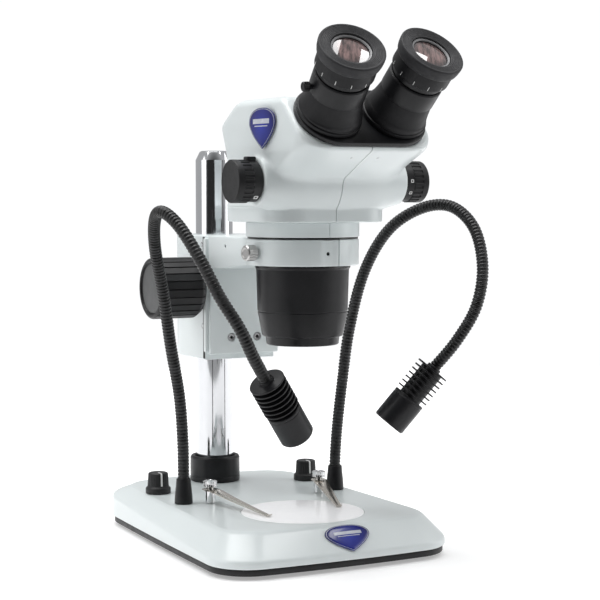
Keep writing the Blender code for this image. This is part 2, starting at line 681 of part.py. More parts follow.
def make_eye(side, label):
    seam, out = eye_frame(side)
    place, look_at = tuple(seam), tuple(out)
    height = (EYE_PLANE + (GAP + 4.0 + GAP) * math.sqrt(2) - (seam.z - seam.y)) / (
        (out.z - out.y))
    foot = seam + out * height
    skirt = turned(f"eye_tube_{label}", [
        (15.4, 8.5), (20.4, 8.5), (20.8, 7.8), (20.8, -7.0), (20.4, -7.6), (21.1, -13.0),
        (22.2, -20.0), (23.6, -26.0), (23.6, height + 3.2), (15.4, height + 3.2),
    ], BLACK, place, look_at, steps=16)
    disc = turned(f"skirt_foot_{label}", [
        (14.6, 6.0), (24.0, 6.0), (24.4, 3.4), (25.2, 3.0), (25.4, 0.0), (14.6, 0.0),
    ], None, tuple(foot), tuple(NORMAL), steps=18)
    boolean(skirt, "UNION", disc)
    screw_out = tube_screw_direction(side, out)
    spot = seam + out * -2.0
    hole = rod(f"tube_screw_cut_{label}", 2.2, 12, 30, None, tuple(spot), tuple(screw_out), 10)
    boolean(skirt, "DIFFERENCE", hole)
    turned(f"tube_screw_{label}", [
        (0, 28.6), (3.6, 28.6), (4.3, 27.9), (4.3, 23.6), (1.9, 22.6), (1.9, 16.0), (0, 16.0),
    ], BLACK, tuple(spot), tuple(screw_out), steps=10)
    turned(f"eyepiece_{label}", [
        (13.6, 31.2), (14.6, 31.2), (14.8, 28.8), (20.0, 28.8), (20.0, 12.7), (19.6, 12.5),
        (19.6, 8.9), (15.0, 8.7), (15.0, -16.0), (11.0, -16.0), (11.0, 19.4), (13.6, 20.0),
    ], BLACK, place, look_at, steps=16)
    turned(f"diopter_ring_{label}", [
        (21.9, 28.7), (22.4, 28.1), (22.4, 13.7), (21.9, 13.1), (20.6, 13.1), (20.6, 28.7),
    ], BLACK, place, look_at, steps=16)
    turned(f"eye_lens_{label}", [(0, 32.0), (7, 31.4), (13.2, 29.4), (13.2, 26.8), (0, 26.8)],
           GLASS, place, look_at, steps=12)
    turned(f"eyecup_{label}", [
        (16.2, 33.2), (23.8, 34.2), (24.8, 33.2), (24.8, 29.9), (24.1, 29.1), (15.4, 29.1),
        (15.4, 32.4),
    ], RUBBER, place, look_at, steps=16)


def tube_screw_direction(side, out):
    """Square to the eyepiece: towards -X on the left, and up behind the tube on the right."""
    way = Vector((-1, 0, 0)) if side < 0 else UPSLOPE
    return (way - out * way.dot(out)).normalized()


def main():
    make_base()
    make_pillar()
    make_base_fittings()
    badge("base_badge", 19.0, 23.5, (4.0, -67.4, 23.2), (1, 0, 0), (0, 0.72, 0.69))
    make_neck("left")
    make_neck("right")
    make_block()
    make_focus_drive()
    make_carriage()
    make_head()
    make_zoom()
    make_eye(-1, "left")
    make_eye(1, "right")
    hang_on_joints()


def hang_on_joints():
    hang("block_slide", (0, PILLAR_Y, BLOCK_Z[0]), ["focus_housing"])
    hang("carriage_slide", (0, BLOCK_FRONT, PINION_Z), [
        "carriage_plate", "focus_rack", "ring_arm", "carriage_screw_left",
        "carriage_screw_right"])
    hang("head_turn", (0, 0, HEAD_Z), ["eyepiece_plate", "head_badge"])
    for side, label in ((-1, "left"), (1, "right")):
        hang(f"eye_turn_{label}", tuple(slope_point(side * 27.0, 159.7, 0)), [
            f"eye_tube_{label}", f"eyepiece_{label}", f"eye_lens_{label}", f"eyecup_{label}"])
        hang(f"neck_bend_{label}", NECK_ROUTE[label][NECK_BEND[label]], [f"lamp_{label}"])


PARTS, CUTTERS = clear_scene()
main()
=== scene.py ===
"""The looks of a stereo zoom microscope on a pillar stand, with two gooseneck lamps.

Lengths are millimetres in a layout frame whose origin lies under the viewing axis, -Y towards the
user. at() moves them into the row frame, in metres.
"""

import json
import math

import bmesh
import bpy
import numpy as np
from mathutils import Matrix, Quaternion, Vector

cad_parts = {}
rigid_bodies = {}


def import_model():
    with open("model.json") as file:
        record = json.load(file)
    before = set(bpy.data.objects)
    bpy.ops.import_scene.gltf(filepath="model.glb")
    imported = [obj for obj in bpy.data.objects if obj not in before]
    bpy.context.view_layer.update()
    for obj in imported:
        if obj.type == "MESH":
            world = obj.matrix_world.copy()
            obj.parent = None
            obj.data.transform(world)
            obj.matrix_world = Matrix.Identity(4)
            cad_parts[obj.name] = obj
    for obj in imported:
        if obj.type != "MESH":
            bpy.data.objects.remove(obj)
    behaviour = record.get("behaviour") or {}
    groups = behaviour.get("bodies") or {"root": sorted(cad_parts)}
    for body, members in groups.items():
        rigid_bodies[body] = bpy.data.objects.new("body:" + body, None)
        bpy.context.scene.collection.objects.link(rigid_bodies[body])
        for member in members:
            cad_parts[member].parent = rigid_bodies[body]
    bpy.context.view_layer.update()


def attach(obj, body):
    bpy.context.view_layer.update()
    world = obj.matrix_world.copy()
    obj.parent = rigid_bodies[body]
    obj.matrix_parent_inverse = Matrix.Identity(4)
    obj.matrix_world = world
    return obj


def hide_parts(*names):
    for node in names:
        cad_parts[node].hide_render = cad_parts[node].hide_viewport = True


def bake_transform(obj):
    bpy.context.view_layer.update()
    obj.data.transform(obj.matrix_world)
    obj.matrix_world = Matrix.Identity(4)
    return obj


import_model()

MM = 0.001
OPTICAL_Y = -32.0
TAU = 2 * math.pi
X, Y, Z = Vector((1, 0, 0)), Vector((0, 1, 0)), Vector((0, 0, 1))
NORMAL = Vector((0.0, -1.0, 1.0)).normalized()  # out of the head's sloping face
UPSLOPE = Vector((0.0, 1.0, 1.0)).normalized()
SIDES = ((-1, "left"), (1, "right"))

PLATEAU_Z, SEAM_Z, STAGE_R = 32.5, 8.0, 48.7
PILLAR_Y, PILLAR_R, PILLAR_TOP = 165.0, 16.0, 320.0
NECK_ROOT, DIMMER, CLIP_POST = (70.0, 74.0), (70.0, 127.0), (50.0, 66.0)
BLOCK_Z, BLOCK_FRONT, BLOCK_HALF = (144.0, 248.0), 114.0, 32.0
PINION_Y, PINION_Z, CLAMP_Z = 118.2, 205.0, 196.0
RING_Z, RING_R, RING_BORE = (228.0, 248.3), 44.0, 38.0
HEAD_Z, HEAD_TOP, EYE_PLANE = 261.6, 354.0, 426.0
ZOOM_Y, ZOOM_Z, ZOOM_FACE = -40.5, 292.5, 81.6
EYE_SPREAD = math.radians(5.0)


def at(x, y, z):
    return Vector((x, y + OPTICAL_Y, z)) * MM


LAYOUT = Matrix.Translation(at(0, 0, 0))


def facing(place, direction=Z):
    """A frame at the place whose +Z runs along the direction."""
    turn = Vector(direction).to_track_quat("Z", "Y")
    return Matrix.Translation(at(*place)) @ turn.to_matrix().to_4x4()


def axes(place, across, up):
    """A frame at the place with +X and +Y along the two directions."""
    across, up = Vector(across).normalized(), Vector(up).normalized()
    turn = Matrix((across, up, across.cross(up))).transposed()
    return Matrix.Translation(at(*place)) @ turn.to_4x4()


def slope_point(x, up, out):
    """A point by its place on the head's sloping face and its height over it."""
    base = UPSLOPE * up + NORMAL * (EYE_PLANE / math.sqrt(2) + out)
    return Vector((x, base.y, base.z))


# ------------------------------------------------------------------ material nodes

def add_node(tree, kind, links=(), **settings):
    """A node with its inputs, by number or name, set to a value or linked to a socket."""
    made = tree.nodes.new(kind)
    for key, value in settings.items():
        setattr(made, key, value)
    for socket, value in dict(links).items():
        if isinstance(value, bpy.types.NodeSocket):
            tree.links.new(value, made.inputs[socket])
        else:
            made.inputs[socket].default_value = value
    return made


class Shader:
    """A Principled material with short calls for the nodes that these materials share."""

    def __init__(self, name, rough=0.4, metal=0.0, **sockets):
        self.mat = bpy.data.materials.new(name)
        self.mat.use_nodes = True
        self.tree = self.mat.node_tree
        self.bsdf = self.tree.nodes["Principled BSDF"]
        self.bsdf.inputs["Roughness"].default_value = rough
        self.bsdf.inputs["Metallic"].default_value = metal
        for key, value in sockets.items():
            self.bsdf.inputs[key.replace("_", " ")].default_value = value
        self.coords = self.tree.nodes.new("ShaderNodeTexCoord").outputs["Object"]

    def node(self, kind, links=(), **settings):
        return add_node(self.tree, kind, links, **settings)

    def stretch(self, x, y, z):
        return self.node("ShaderNodeVectorMath", {0: self.coords, 1: (x, y, z)},
                         operation="MULTIPLY").outputs[0]

    def noise(self, scale, detail=3.0, rough=0.5, coords=None):
        return self.node("ShaderNodeTexNoise", {
            "Vector": coords or self.coords, "Scale": scale, "Detail": detail,
            "Roughness": rough}).outputs["Fac"]

    def fit(self, value, low, high, to_low, to_high):
        return self.node("ShaderNodeMapRange", {
            0: value, 1: low, 2: high, 3: to_low, 4: to_high}).outputs[0]

    def math(self, operation, a, b=0.0):
        return self.node("ShaderNodeMath", {0: a, 1: b}, operation=operation).outputs[0]

    def mix(self, factor, a, b):
        made = self.node("ShaderNodeMix", {0: factor}, data_type="RGBA")
        for slot, value in ((6, a), (7, b)):
            if isinstance(value, bpy.types.NodeSocket):
                self.tree.links.new(value, made.inputs[slot])
            else:
                made.inputs[slot].default_value = (*value, 1.0)
        return made.outputs[2]

    def set(self, socket, value):
        self.tree.links.new(value, self.bsdf.inputs[socket])

    def bump(self, *layers):
        """Each layer is (height, strength, depth in metres). Later ones lie on the earlier."""
        normal = None
        for height, strength, depth in layers:
            links = {"Height": height, "Strength": strength, "Distance": depth}
            if normal is not None:
                links["Normal"] = normal
            normal = self.node("ShaderNodeBump", links).outputs[0]
        self.tree.links.new(normal, self.bsdf.inputs["Normal"])


def grainy(name, dark, light, grain, rough, span=0.08, depth=0.00006, strength=0.25, **sockets):
    """A moulded or coated surface: cloudy colour, uneven gloss and a fine tooth."""
    s = Shader(name, rough, **sockets)
    cloud, fine = s.noise(45.0, 4.0, 0.6), s.noise(grain, 2.0, 0.6)
    s.set("Base Color", s.mix(s.fit(s.math("ADD", cloud, s.math("MULTIPLY", fine, 0.5)),
                                    0.45, 1.05, 0.0, 1.0), dark, light))
    s.set("Roughness", s.fit(s.noise(160.0, 3.0), 0.3, 0.7, rough - span / 2, rough + span / 2))
    s.bump((fine, strength, depth), (cloud, 0.05, 0.0002))
    return s.mat


def turned_metal(name, colour, rough, pitch, along, strength=0.12):
    """Metal with the fine lines that its machining left along the given local axis."""
    s = Shader(name, rough, 1.0)
    lines = s.noise(1.0, 2.0, 0.7, s.stretch(*(pitch if k != along else pitch * 0.012
                                              for k in range(3))))
    smudge = s.noise(38.0, 4.0, 0.6)
    s.set("Base Color", s.mix(smudge, colour, tuple(c * 0.86 for c in colour)))
    s.set("Roughness", s.fit(s.math("ADD", lines, smudge), 0.6, 1.4, rough * 0.6, rough * 1.5))
    s.bump((lines, strength, 0.00002))
    return s.mat


def make_materials():
    m = {}
    # stove-enamelled castings: a cool white with a faint orange peel under a glossy top
    s = Shader("white_enamel", 0.32, Coat_Weight=0.35, Coat_Roughness=0.16)
    peel, cloud = s.noise(620.0, 2.0, 0.5), s.noise(17.0, 4.0, 0.55)
    speck = s.fit(s.noise(2400.0, 1.0), 0.66, 0.74, 0.0, 0.06)
    base = s.mix(cloud, (0.735, 0.792, 0.795), (0.770, 0.822, 0.824))
    s.set("Base Color", s.mix(speck, base, (0.55, 0.58, 0.60)))
    s.set("Roughness", s.fit(cloud, 0.3, 0.7, 0.27, 0.37))
    s.bump((peel, 0.10, 0.00005), (cloud, 0.04, 0.0004))
    m["paint"] = s.mat
    m["satin"] = grainy("black_anodised", (0.006, 0.006, 0.007), (0.014, 0.014, 0.016), 1500.0,
                        0.36, Specular_IOR_Level=0.32)
    m["gloss"] = grainy("black_lacquer", (0.008, 0.008, 0.009), (0.017, 0.017, 0.018), 900.0,
                        0.24, 0.06, 0.00004, 0.12, Coat_Weight=0.25, Coat_Roughness=0.1)
    m["plastic"] = grainy("black_moulding", (0.011, 0.011, 0.012), (0.025, 0.025, 0.026), 1300.0,
                          0.42, 0.12, 0.00009, 0.35, Specular_IOR_Level=0.30)
    m["rubber"] = grainy("black_rubber", (0.018, 0.018, 0.020), (0.040, 0.040, 0.043), 1900.0,
                         0.62, 0.14, 0.00010, 0.45, Specular_IOR_Level=0.34)
    m["skirt"] = grainy("black_skirt", (0.006, 0.006, 0.007), (0.014, 0.014, 0.016), 1700.0,
                        0.46, 0.10, 0.00008, 0.35, Specular_IOR_Level=0.26)
    m["cap"] = grainy("grey_cap", (0.060, 0.062, 0.063), (0.105, 0.107, 0.108), 1400.0,
                      0.42, 0.1, 0.00006, 0.3)
    m["badge_line"] = grainy("badge_line", (0.50, 0.53, 0.60), (0.66, 0.68, 0.73), 900.0, 0.25)
    m["mark"] = grainy("white_mark", (0.66, 0.66, 0.65), (0.80, 0.80, 0.79), 900.0, 0.5)
    m["chrome"] = turned_metal("pillar_chrome", (0.73, 0.74, 0.76), 0.085, 5200.0, 2, 0.05)
    m["bright"] = turned_metal("bright_chrome", (0.78, 0.78, 0.79), 0.11, 2600.0, 2, 0.1)
    m["nickel"] = turned_metal("satin_nickel", (0.62, 0.61, 0.60), 0.34, 2600.0, 2, 0.2)
    m["steel"] = turned_metal("spring_steel", (0.66, 0.62, 0.56), 0.22, 3200.0, 0, 0.05)
    m["screw"] = turned_metal("screw_steel", (0.58, 0.58, 0.59), 0.26, 2600.0, 2, 0.25)
    # near-black for painted shade: strips, discs and screws put where gaps, sockets and holes fall
    # into shade
    m["dark"] = grainy("painted_shade_black", (0.004, 0.004, 0.004), (0.009, 0.009, 0.009), 900.0, 0.7)
    # opal stage plate: its faint emission is a painted glow, which brightens the plate though it
    # is no lamp
    m["opal"] = grainy("opal_plate", (0.90, 0.90, 0.92), (0.95, 0.95, 0.96), 500.0, 0.16, 0.05,
                       0.00002, 0.06, Emission_Color=(1.0, 1.0, 1.0, 1.0), Emission_Strength=0.12)
    m["rim"] = grainy("grey_rim", (0.30, 0.31, 0.32), (0.42, 0.43, 0.44), 900.0, 0.4)
    m["board"] = grainy("circuit_board", (0.01, 0.10, 0.035), (0.02, 0.19, 0.07), 700.0, 0.35)
    m["bezel"] = grainy("inner_bezel", (0.20, 0.20, 0.205), (0.30, 0.30, 0.305), 900.0, 0.45)

    # domed enamel badge: a deep blue that pales towards its middle
    s = Shader("blue_enamel", 0.16, Coat_Weight=0.3, Coat_Roughness=0.04,
               Specular_IOR_Level=0.35)
    swirl = s.noise(120.0, 3.0)
    far = s.node("ShaderNodeVectorMath", {0: s.coords}, operation="LENGTH").outputs["Value"]
    tone = s.mix(s.fit(far, 0.002, 0.017, 0.0, 1.0), (0.016, 0.032, 0.36), (0.004, 0.006, 0.12))
    s.set("Base Color", s.mix(s.fit(swirl, 0.35, 0.75, 0.0, 0.35), tone, (0.012, 0.016, 0.19)))
    s.bump((swirl, 0.05, 0.0002))
    m["blue"] = s.mat

    # coated eye lens: painted reflections, brown and pinkish bands in its colour that stand in for
    # the reflections of its coatings and of the barrel behind them, and painted shade towards its
    # rim
    s = Shader("coated_lens", 0.03, Coat_Weight=1.0, Coat_Roughness=0.0, IOR=1.6)
    bands = s.noise(1.0, 2.0, 0.6, s.stretch(420.0, 90.0, 90.0))
    far = s.node("ShaderNodeVectorMath", {0: s.stretch(1, 1, 0)}, operation="LENGTH")
    painted_reflection_bands = s.mix(s.fit(bands, 0.35, 0.65, 0.0, 1.0), (0.040, 0.022, 0.020), (0.27, 0.17, 0.16))
    # painted shade: the colour darkens towards the lens's rim
    rim = s.fit(far.outputs["Value"], 0.0095, 0.0138, 0.0, 1.0)
    s.set("Base Color", s.mix(rim, painted_reflection_bands, (0.035, 0.028, 0.030)))
    s.set("Roughness", s.fit(bands, 0.3, 0.7, 0.02, 0.05))
    m["lens"] = s.mat

    s = Shader("front_glass", 0.02, Coat_Weight=1.0, Coat_Roughness=0.0, IOR=1.6)
    ring = s.node("ShaderNodeVectorMath", {0: s.stretch(1, 1, 0)}, operation="LENGTH")
    s.set("Base Color", s.mix(s.fit(ring.outputs["Value"], 0.004, 0.020, 0.0, 1.0),
                              (0.020, 0.045, 0.050), (0.004, 0.006, 0.010)))
    s.set("Roughness", s.fit(s.noise(300.0), 0.3, 0.7, 0.02, 0.06))
    m["glass"] = s.mat

    s = Shader("lamp_lens", 0.10, Coat_Weight=1.0, Coat_Roughness=0.02)
    ring = s.node("ShaderNodeVectorMath", {0: s.stretch(1, 1, 0)}, operation="LENGTH")
    waves = s.math("SINE", s.math("MULTIPLY", ring.outputs["Value"], 6500.0))
    s.set("Base Color", s.mix(s.fit(waves, -1.0, 1.0, 0.0, 1.0), (0.55, 0.57, 0.52),
                              (0.78, 0.79, 0.74)))
    s.set("Roughness", s.fit(s.noise(400.0), 0.3, 0.7, 0.06, 0.14))
    s.bump((waves, 0.3, 0.0001))
    m["led"] = s.mat

    # gooseneck: black oxide that is brighter on the crowns of its coils
    s = Shader("neck_coils", 0.28, 0.35)
    wear, fine = s.noise(210.0, 3.0, 0.6), s.noise(1700.0, 2.0)
    s.set("Base Color", s.mix(s.fit(wear, 0.4, 0.8, 0.0, 1.0), (0.012, 0.012, 0.012),
                              (0.046, 0.046, 0.048)))
    s.set("Roughness", s.fit(wear, 0.3, 0.7, 0.24, 0.42))
    s.bump((fine, 0.2, 0.00004))
    m["neck"] = s.mat
    return m


M = make_materials()


# ------------------------------------------------------------------ mesh tools

def put(name, points, faces, look, body, place=LAYOUT, sharp=32.0, replaces=None):
    """A piece from points in millimetres, in the frame given, riding on a body."""
    mesh = bpy.data.meshes.new(name)
    mesh.from_pydata((np.asarray(points, float) * MM).tolist(), [], [list(f) for f in faces])
    work = bmesh.new()
    work.from_mesh(mesh)
    bmesh.ops.recalc_face_normals(work, faces=work.faces)
    work.to_mesh(mesh)
    work.free()
    mesh.materials.append(M[look])
    mesh.shade_smooth()
    mesh.set_sharp_from_angle(angle=math.radians(sharp))
    obj = bpy.data.objects.new(name, mesh)
    obj.matrix_world = place
    bpy.context.scene.collection.objects.link(obj)
    if body:
        own(obj, body, replaces)
    return obj


def own(obj, body, replaces=None):
    """Puts a finished piece on its body. Some pieces stand for a CAD node."""
    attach(obj, body)
    if replaces:
        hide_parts(replaces)


def soften(profile, edge, loop, steps=3, even=False):
    """Rounds each corner of a polyline. A point's third value is its own radius."""
    out, count = [], len(profile)
    for i, point in enumerate(profile):
        here = np.array(point[:2], float)
        radius = point[2] if len(point) > 2 else edge
        if not loop and i in (0, count - 1):
            out.append(here)
            continue
        before = np.array(profile[i - 1][:2], float) - here
        after = np.array(profile[(i + 1) % count][:2], float) - here
        a, b = np.linalg.norm(before), np.linalg.norm(after)
        turn = math.acos(float(np.clip(-(before @ after) / (a * b), -1, 1)))
        if not even and (turn < 0.12 or radius <= 0):
            out.append(here)
            continue
        reach = min(radius * math.tan(turn / 2), 0.45 * a, 0.45 * b)
        p, q = here + before / a * reach, here + after / b * reach
        for k in range(steps + 1):
            t = k / steps
            out.append((1 - t) ** 2 * p + 2 * t * (1 - t) * here + t * t * q)
    return np.array(out)


def lathe(name, profile, look, body, place=LAYOUT, segments=72, edge=0.3, shape=None, extra=(),
          **rest):
    """A solid of revolution about local Z from (radius, height), open at the axis or a loop."""
    loop = profile[0][0] > 0
    points = soften(profile, edge, loop)
    angles = np.sort(np.concatenate([np.arange(segments) / segments * TAU,
                                     np.mod(np.array(extra, float), TAU)]))
    angles = angles[np.concatenate([[True], np.diff(angles) > 1e-5])]
    count, verts, rows = len(angles), [], []
    for r, h in points:
        if r < 1e-6:
            rows.append([len(verts)] * count)
            verts.append((0.0, 0.0, h))
            continue
        radii = np.full(count, r) if shape is None else shape(angles, r, h)
        rows.append(list(range(len(verts), len(verts) + count)))
        verts += list(zip(radii * np.cos(angles), radii * np.sin(angles), [h] * count))
    faces = []
    for k in range(len(rows) if loop else len(rows) - 1):
        a, b = rows[k], rows[(k + 1) % len(rows)]
        for i in range(count):
            j = (i + 1) % count
            ring = list(dict.fromkeys((a[i], a[j], b[j], b[i])))
            if len(ring) > 2:
                faces.append(ring)
    return put(name, verts, faces, look, body, place, **rest)


def grooved(depth, count, where):
    """A shape for lathe(): rounded grooves along the axis, where the test of (r, h) holds."""
    def shape(angles, r, h):
        cut = depth * (0.5 + 0.5 * np.cos(angles * count)) if where(r, h) else 0
        return np.full(len(angles), r) - cut

    return shape


def hexagonal(where):
    """A shape for lathe(): six flats, where the test of (r, h) holds."""
    def shape(angles, r, h):
        six = np.cos(math.pi / 6) / np.cos(np.mod(angles, math.pi / 3) - math.pi / 6)
        return r * six if where(r, h) else np.full(len(angles), r)

    return shape


def skin_mesh(rings, loop=False):
    """Points and faces over equal rings, capped unless the rings themselves close up."""
    count = len(rings[0])
    points = [tuple(p) for ring in rings for p in ring]
    faces = []
    for k in range(len(rings) if loop else len(rings) - 1):
        a, b = k * count, (k + 1) % len(rings) * count
        for i in range(count):
            j = (i + 1) % count
            faces.append((a + i, a + j, b + j, b + i))
    if not loop:
        faces.append(tuple(reversed(range(count))))
        faces.append(tuple(range(len(points) - count, len(points))))
    return points, faces


def skin(name, rings, look, body, place=LAYOUT, loop=False, **rest):
    return put(name, *skin_mesh(rings, loop), look, body, place, **rest)


def inset(outline, distance):
    """A closed outline moved inwards by the distance. It runs anticlockwise."""
    pts = np.asarray(outline, float)
    along = np.roll(pts, -1, 0) - np.roll(pts, 1, 0)
    along /= np.linalg.norm(along, axis=1)[:, None]
    return pts + np.stack([-along[:, 1], along[:, 0]], 1) * distance


def rounded(half_x, low_y, high_y, r, per_corner, straight):
    """A rounded rectangle, anticlockwise from its front right corner, points on its sides too."""
    outline = []
    for cx, cy, start in ((half_x, low_y, -90), (half_x, high_y, 0), (-half_x, high_y, 90),
                          (-half_x, low_y, 180)):
        mx, my = cx - math.copysign(r, cx), cy + r if cy == low_y else cy - r
        for k in range(per_corner + 1):
            a = math.radians(start + 90 * k / per_corner)
            outline.append((mx + r * math.cos(a), my + r * math.sin(a)))
    dense = []
    for i, here in enumerate(outline):
        there = outline[(i + 1) % len(outline)]
        parts = straight if (i + 1) % (per_corner + 1) == 0 else 1
        dense += [tuple(np.array(here) + (np.array(there) - here) * k / parts)
                  for k in range(parts)]
    return dense


def slab_rings(outline, low, high, edge=0.8, steps=3, hole=None):
    """Rings of a plate with rounded edges. low and high may depend on the point."""
    def level(value, ring):
        return np.array([value(*p) if callable(value) else value for p in ring])

    def at_height(ring, heights):
        return np.column_stack([ring, heights])

    outline = np.asarray(outline, float)
    arcs = [(edge * (1 - math.sin(a)), edge * (1 - math.cos(a)))
            for a in np.linspace(0, math.pi / 2, steps + 1)]
    rings = [at_height(inset(outline, side), level(low, outline) + up) for side, up in arcs]
    rings += [at_height(inset(outline, side), level(high, outline) - up)
              for side, up in reversed(arcs)]
    if hole is None:
        return rings
    hole = np.asarray(hole, float)
    inner = [at_height(inset(hole, -side), level(high, hole) - up) for side, up in arcs]
    inner += [at_height(inset(hole, -side), level(low, hole) + up)
              for side, up in reversed(arcs)]
    return rings + inner


def slab(name, outline, low, high, look, body, place=LAYOUT, edge=0.8, hole=None, **rest):
    return skin(name, slab_rings(outline, low, high, edge, 3, hole), look, body, place,
                loop=hole is not None, **rest)


def circle_for(outline, radius, centre=(0.0, 0.0)):
    """A circle's points in the directions of the outline's, as seen from the centre."""
    away = np.asarray(outline, float) - centre
    return away / np.linalg.norm(away, axis=1)[:, None] * radius + centre


def brick(name, low, high, look, body, place=LAYOUT, edge=0.8, **rest):
    """A rounded box between two corners."""
    work = bmesh.new()
    size, middle = Vector(high) - Vector(low), (Vector(low) + Vector(high)) / 2
    bmesh.ops.create_cube(work, size=1.0,
                          matrix=Matrix.Translation(middle) @ Matrix.Diagonal((*size, 1.0)))
    bmesh.ops.bevel(work, geom=work.edges[:], offset=edge, segments=3, profile=0.5,
                    affect="EDGES")
    points = [tuple(v.co) for v in work.verts]
    faces = [[v.index for v in f.verts] for f in work.faces]
    work.free()
    return put(name, points, faces, look, body, place, **rest)


def carve(obj, cutters, operation="DIFFERENCE"):
    """Applies Booleans to a piece and removes the cutters."""
    for cutter in cutters:
        step = obj.modifiers.new("cut", "BOOLEAN")
        step.operation, step.solver, step.object = operation, "EXACT", cutter
    bpy.context.view_layer.update()
    graph = bpy.context.evaluated_depsgraph_get()
    mesh = bpy.data.meshes.new_from_object(obj.evaluated_get(graph))
    obj.modifiers.clear()
    looks = list(obj.data.materials)
    obj.data = mesh
    mesh.materials.clear()
    mesh.materials.append(looks[0])
    mesh.shade_smooth()
    mesh.set_sharp_from_angle(angle=math.radians(32))
    for cutter in cutters:
        bpy.data.objects.remove(cutter, do_unlink=True)
    return obj


def tool(kind, *args, **kwargs):
    """A cutter or an added shape: it rides on nothing, because carve() uses it up."""
    return kind(f"tool_{len(bpy.data.objects)}", *args, "dark", None, **kwargs)


def drill(radius, high, low, place, segments=32):
    """A plain round cutter along a frame's Z."""
    return tool(lathe, [(0, high), (radius, high), (radius, low), (0, low)], segments=segments,
                edge=0, place=place)


# ------------------------------------------------------------------ base

def base_outline(front=0.0, side=0.0, back=0.0):
    """The base's plan: four bowed sides that narrow a little towards the back."""
    half, low, high = 99.5 - side, -71.0 + front, 192.0 - back
    outline = []
    for x, y in rounded(half, low, high, 31.0 - 0.4 * side, 14, 12):
        along = (y - low) / (high - low)
        x *= 1.025 - 0.085 * along + 0.012 * math.sin(math.pi * along)
        bow = max(1.0 - (x / (half * 1.02)) ** 2, 0.0)
        outline.append((x, y + (-5.0 if along < 0.5 else 13.0) * bow
                        * abs(2 * along - 1) ** 0.5))
    return np.array(outline)


def wall_top(y):
    return 13.5 + 13.5 * min(max((y + 60.0) / 240.0, 0.0), 1.0)


def make_base():
    outer, inner = base_outline(), base_outline(20.5, 16.5, 8.0)
    reach = np.linalg.norm(inner - outer, axis=1)
    profiles = []
    for (x, y), width in zip(outer, reach):
        top = wall_top(y)
        side = [(width * 0.3, 2.0 + SEAM_Z), (0.8, SEAM_Z), (0.0, SEAM_Z + 1.0), (0.0, top, 5.5),
                (0.80 * width, PLATEAU_Z - 1.5, 9.0), (width, PLATEAU_Z - 0.15, 3.0),
                (width + 3.0, PLATEAU_Z)]
        profiles.append(soften(side, 0.8, False, 5, True))
    rings = []
    for k in range(len(profiles[0])):
        ring = []
        for i, profile in enumerate(profiles):
            depth, z = profile[k]
            ring.append((*(outer[i] + (inner[i] - outer[i]) * depth / reach[i]), z))
        rings.append(ring)
    flat = np.array(rings[-1])[:, :2]
    for share in (0.33, 0.66):
        edge = circle_for(flat, STAGE_R + 0.95)
        rings.append(np.column_stack([flat + (edge - flat) * share,
                                      np.full(len(flat), PLATEAU_Z)]))
    for radius, z in ((STAGE_R + 0.95, PLATEAU_Z), (STAGE_R + 0.55, PLATEAU_Z - 0.1),
                      (STAGE_R + 0.4, PLATEAU_Z - 0.5), (STAGE_R + 0.4, 28.3)):
        rings.append(np.column_stack([circle_for(flat, radius), np.full(len(flat), z)]))
    skin("enamelled_base", rings, "paint", "stand", replaces="base_shell")

    plate = np.array(base_outline())
    slab("base_underside", inset(plate, 1.7), 2.8, SEAM_Z - 0.1, "plastic", "stand", edge=0.9,
         replaces="bottom_plate")
    for label, x, y in (("front_left", -74, -42), ("front_right", 74, -42),
                        ("back_left", -70, 170), ("back_right", 70, 170)):
        lathe(f"rubber_foot_{label}", [(0, 2.6), (9.2, 2.6), (8.6, 0.4), (7.9, 0), (3, 0),
                                       (2.2, 0.8), (0, 0.8)], "rubber", "stand",
              facing((x, y, 0)), 40, 0.3, replaces=f"foot_{label}")
    # the stage disc's opal material glows faintly: painted light
    lathe("stage_disc", [(0, PLATEAU_Z), (STAGE_R - 0.35, PLATEAU_Z), (STAGE_R, PLATEAU_Z - 0.4),
                         (STAGE_R, 28.5), (0, 28.5)], "opal", "stand", LAYOUT, 128, 0.2,
          replaces="stage_plate")
    # painted shade: a grey ring in the thin gap round the stage disc, darker than the plateau as
    # the gap's shade
    lathe("stage_gap_shade", [(STAGE_R + 0.05, PLATEAU_Z - 0.45), (STAGE_R + 0.36, PLATEAU_Z - 0.45),
                        (STAGE_R + 0.36, PLATEAU_Z - 2.0), (STAGE_R + 0.05, PLATEAU_Z - 2.0)],
          "rim", "stand", LAYOUT, 128, 0.0)


def make_pillar():
    top = PILLAR_TOP
    lathe("chrome_pillar", [
        (0, top - 0.6), (2.6, top - 0.6), (3.2, top), (11, top), (12.6, top - 1.0),
        (PILLAR_R, top - 8), (PILLAR_R, PLATEAU_Z + 0.3), (6, PLATEAU_Z + 0.3), (6, 12), (0, 12),
    ], "chrome", "stand", facing((0, PILLAR_Y, 0)), 96, 0.4, replaces="pillar")
    lathe("pillar_socket", [
        (19.4, 55.0), (20.6, 54.6, 0.8), (21.5, 53.0), (21.6, 46), (21.6, 37.6), (21.2, 37.2),
        (21.6, 36.8), (21.6, PLATEAU_Z + 0.3), (16.3, PLATEAU_Z + 0.3), (16.3, 52.4),
        (17.2, 52.6), (17.6, 54.2),
    ], "satin", "stand", facing((0, PILLAR_Y, 0)), 96, 0.35, replaces="pillar_collar")


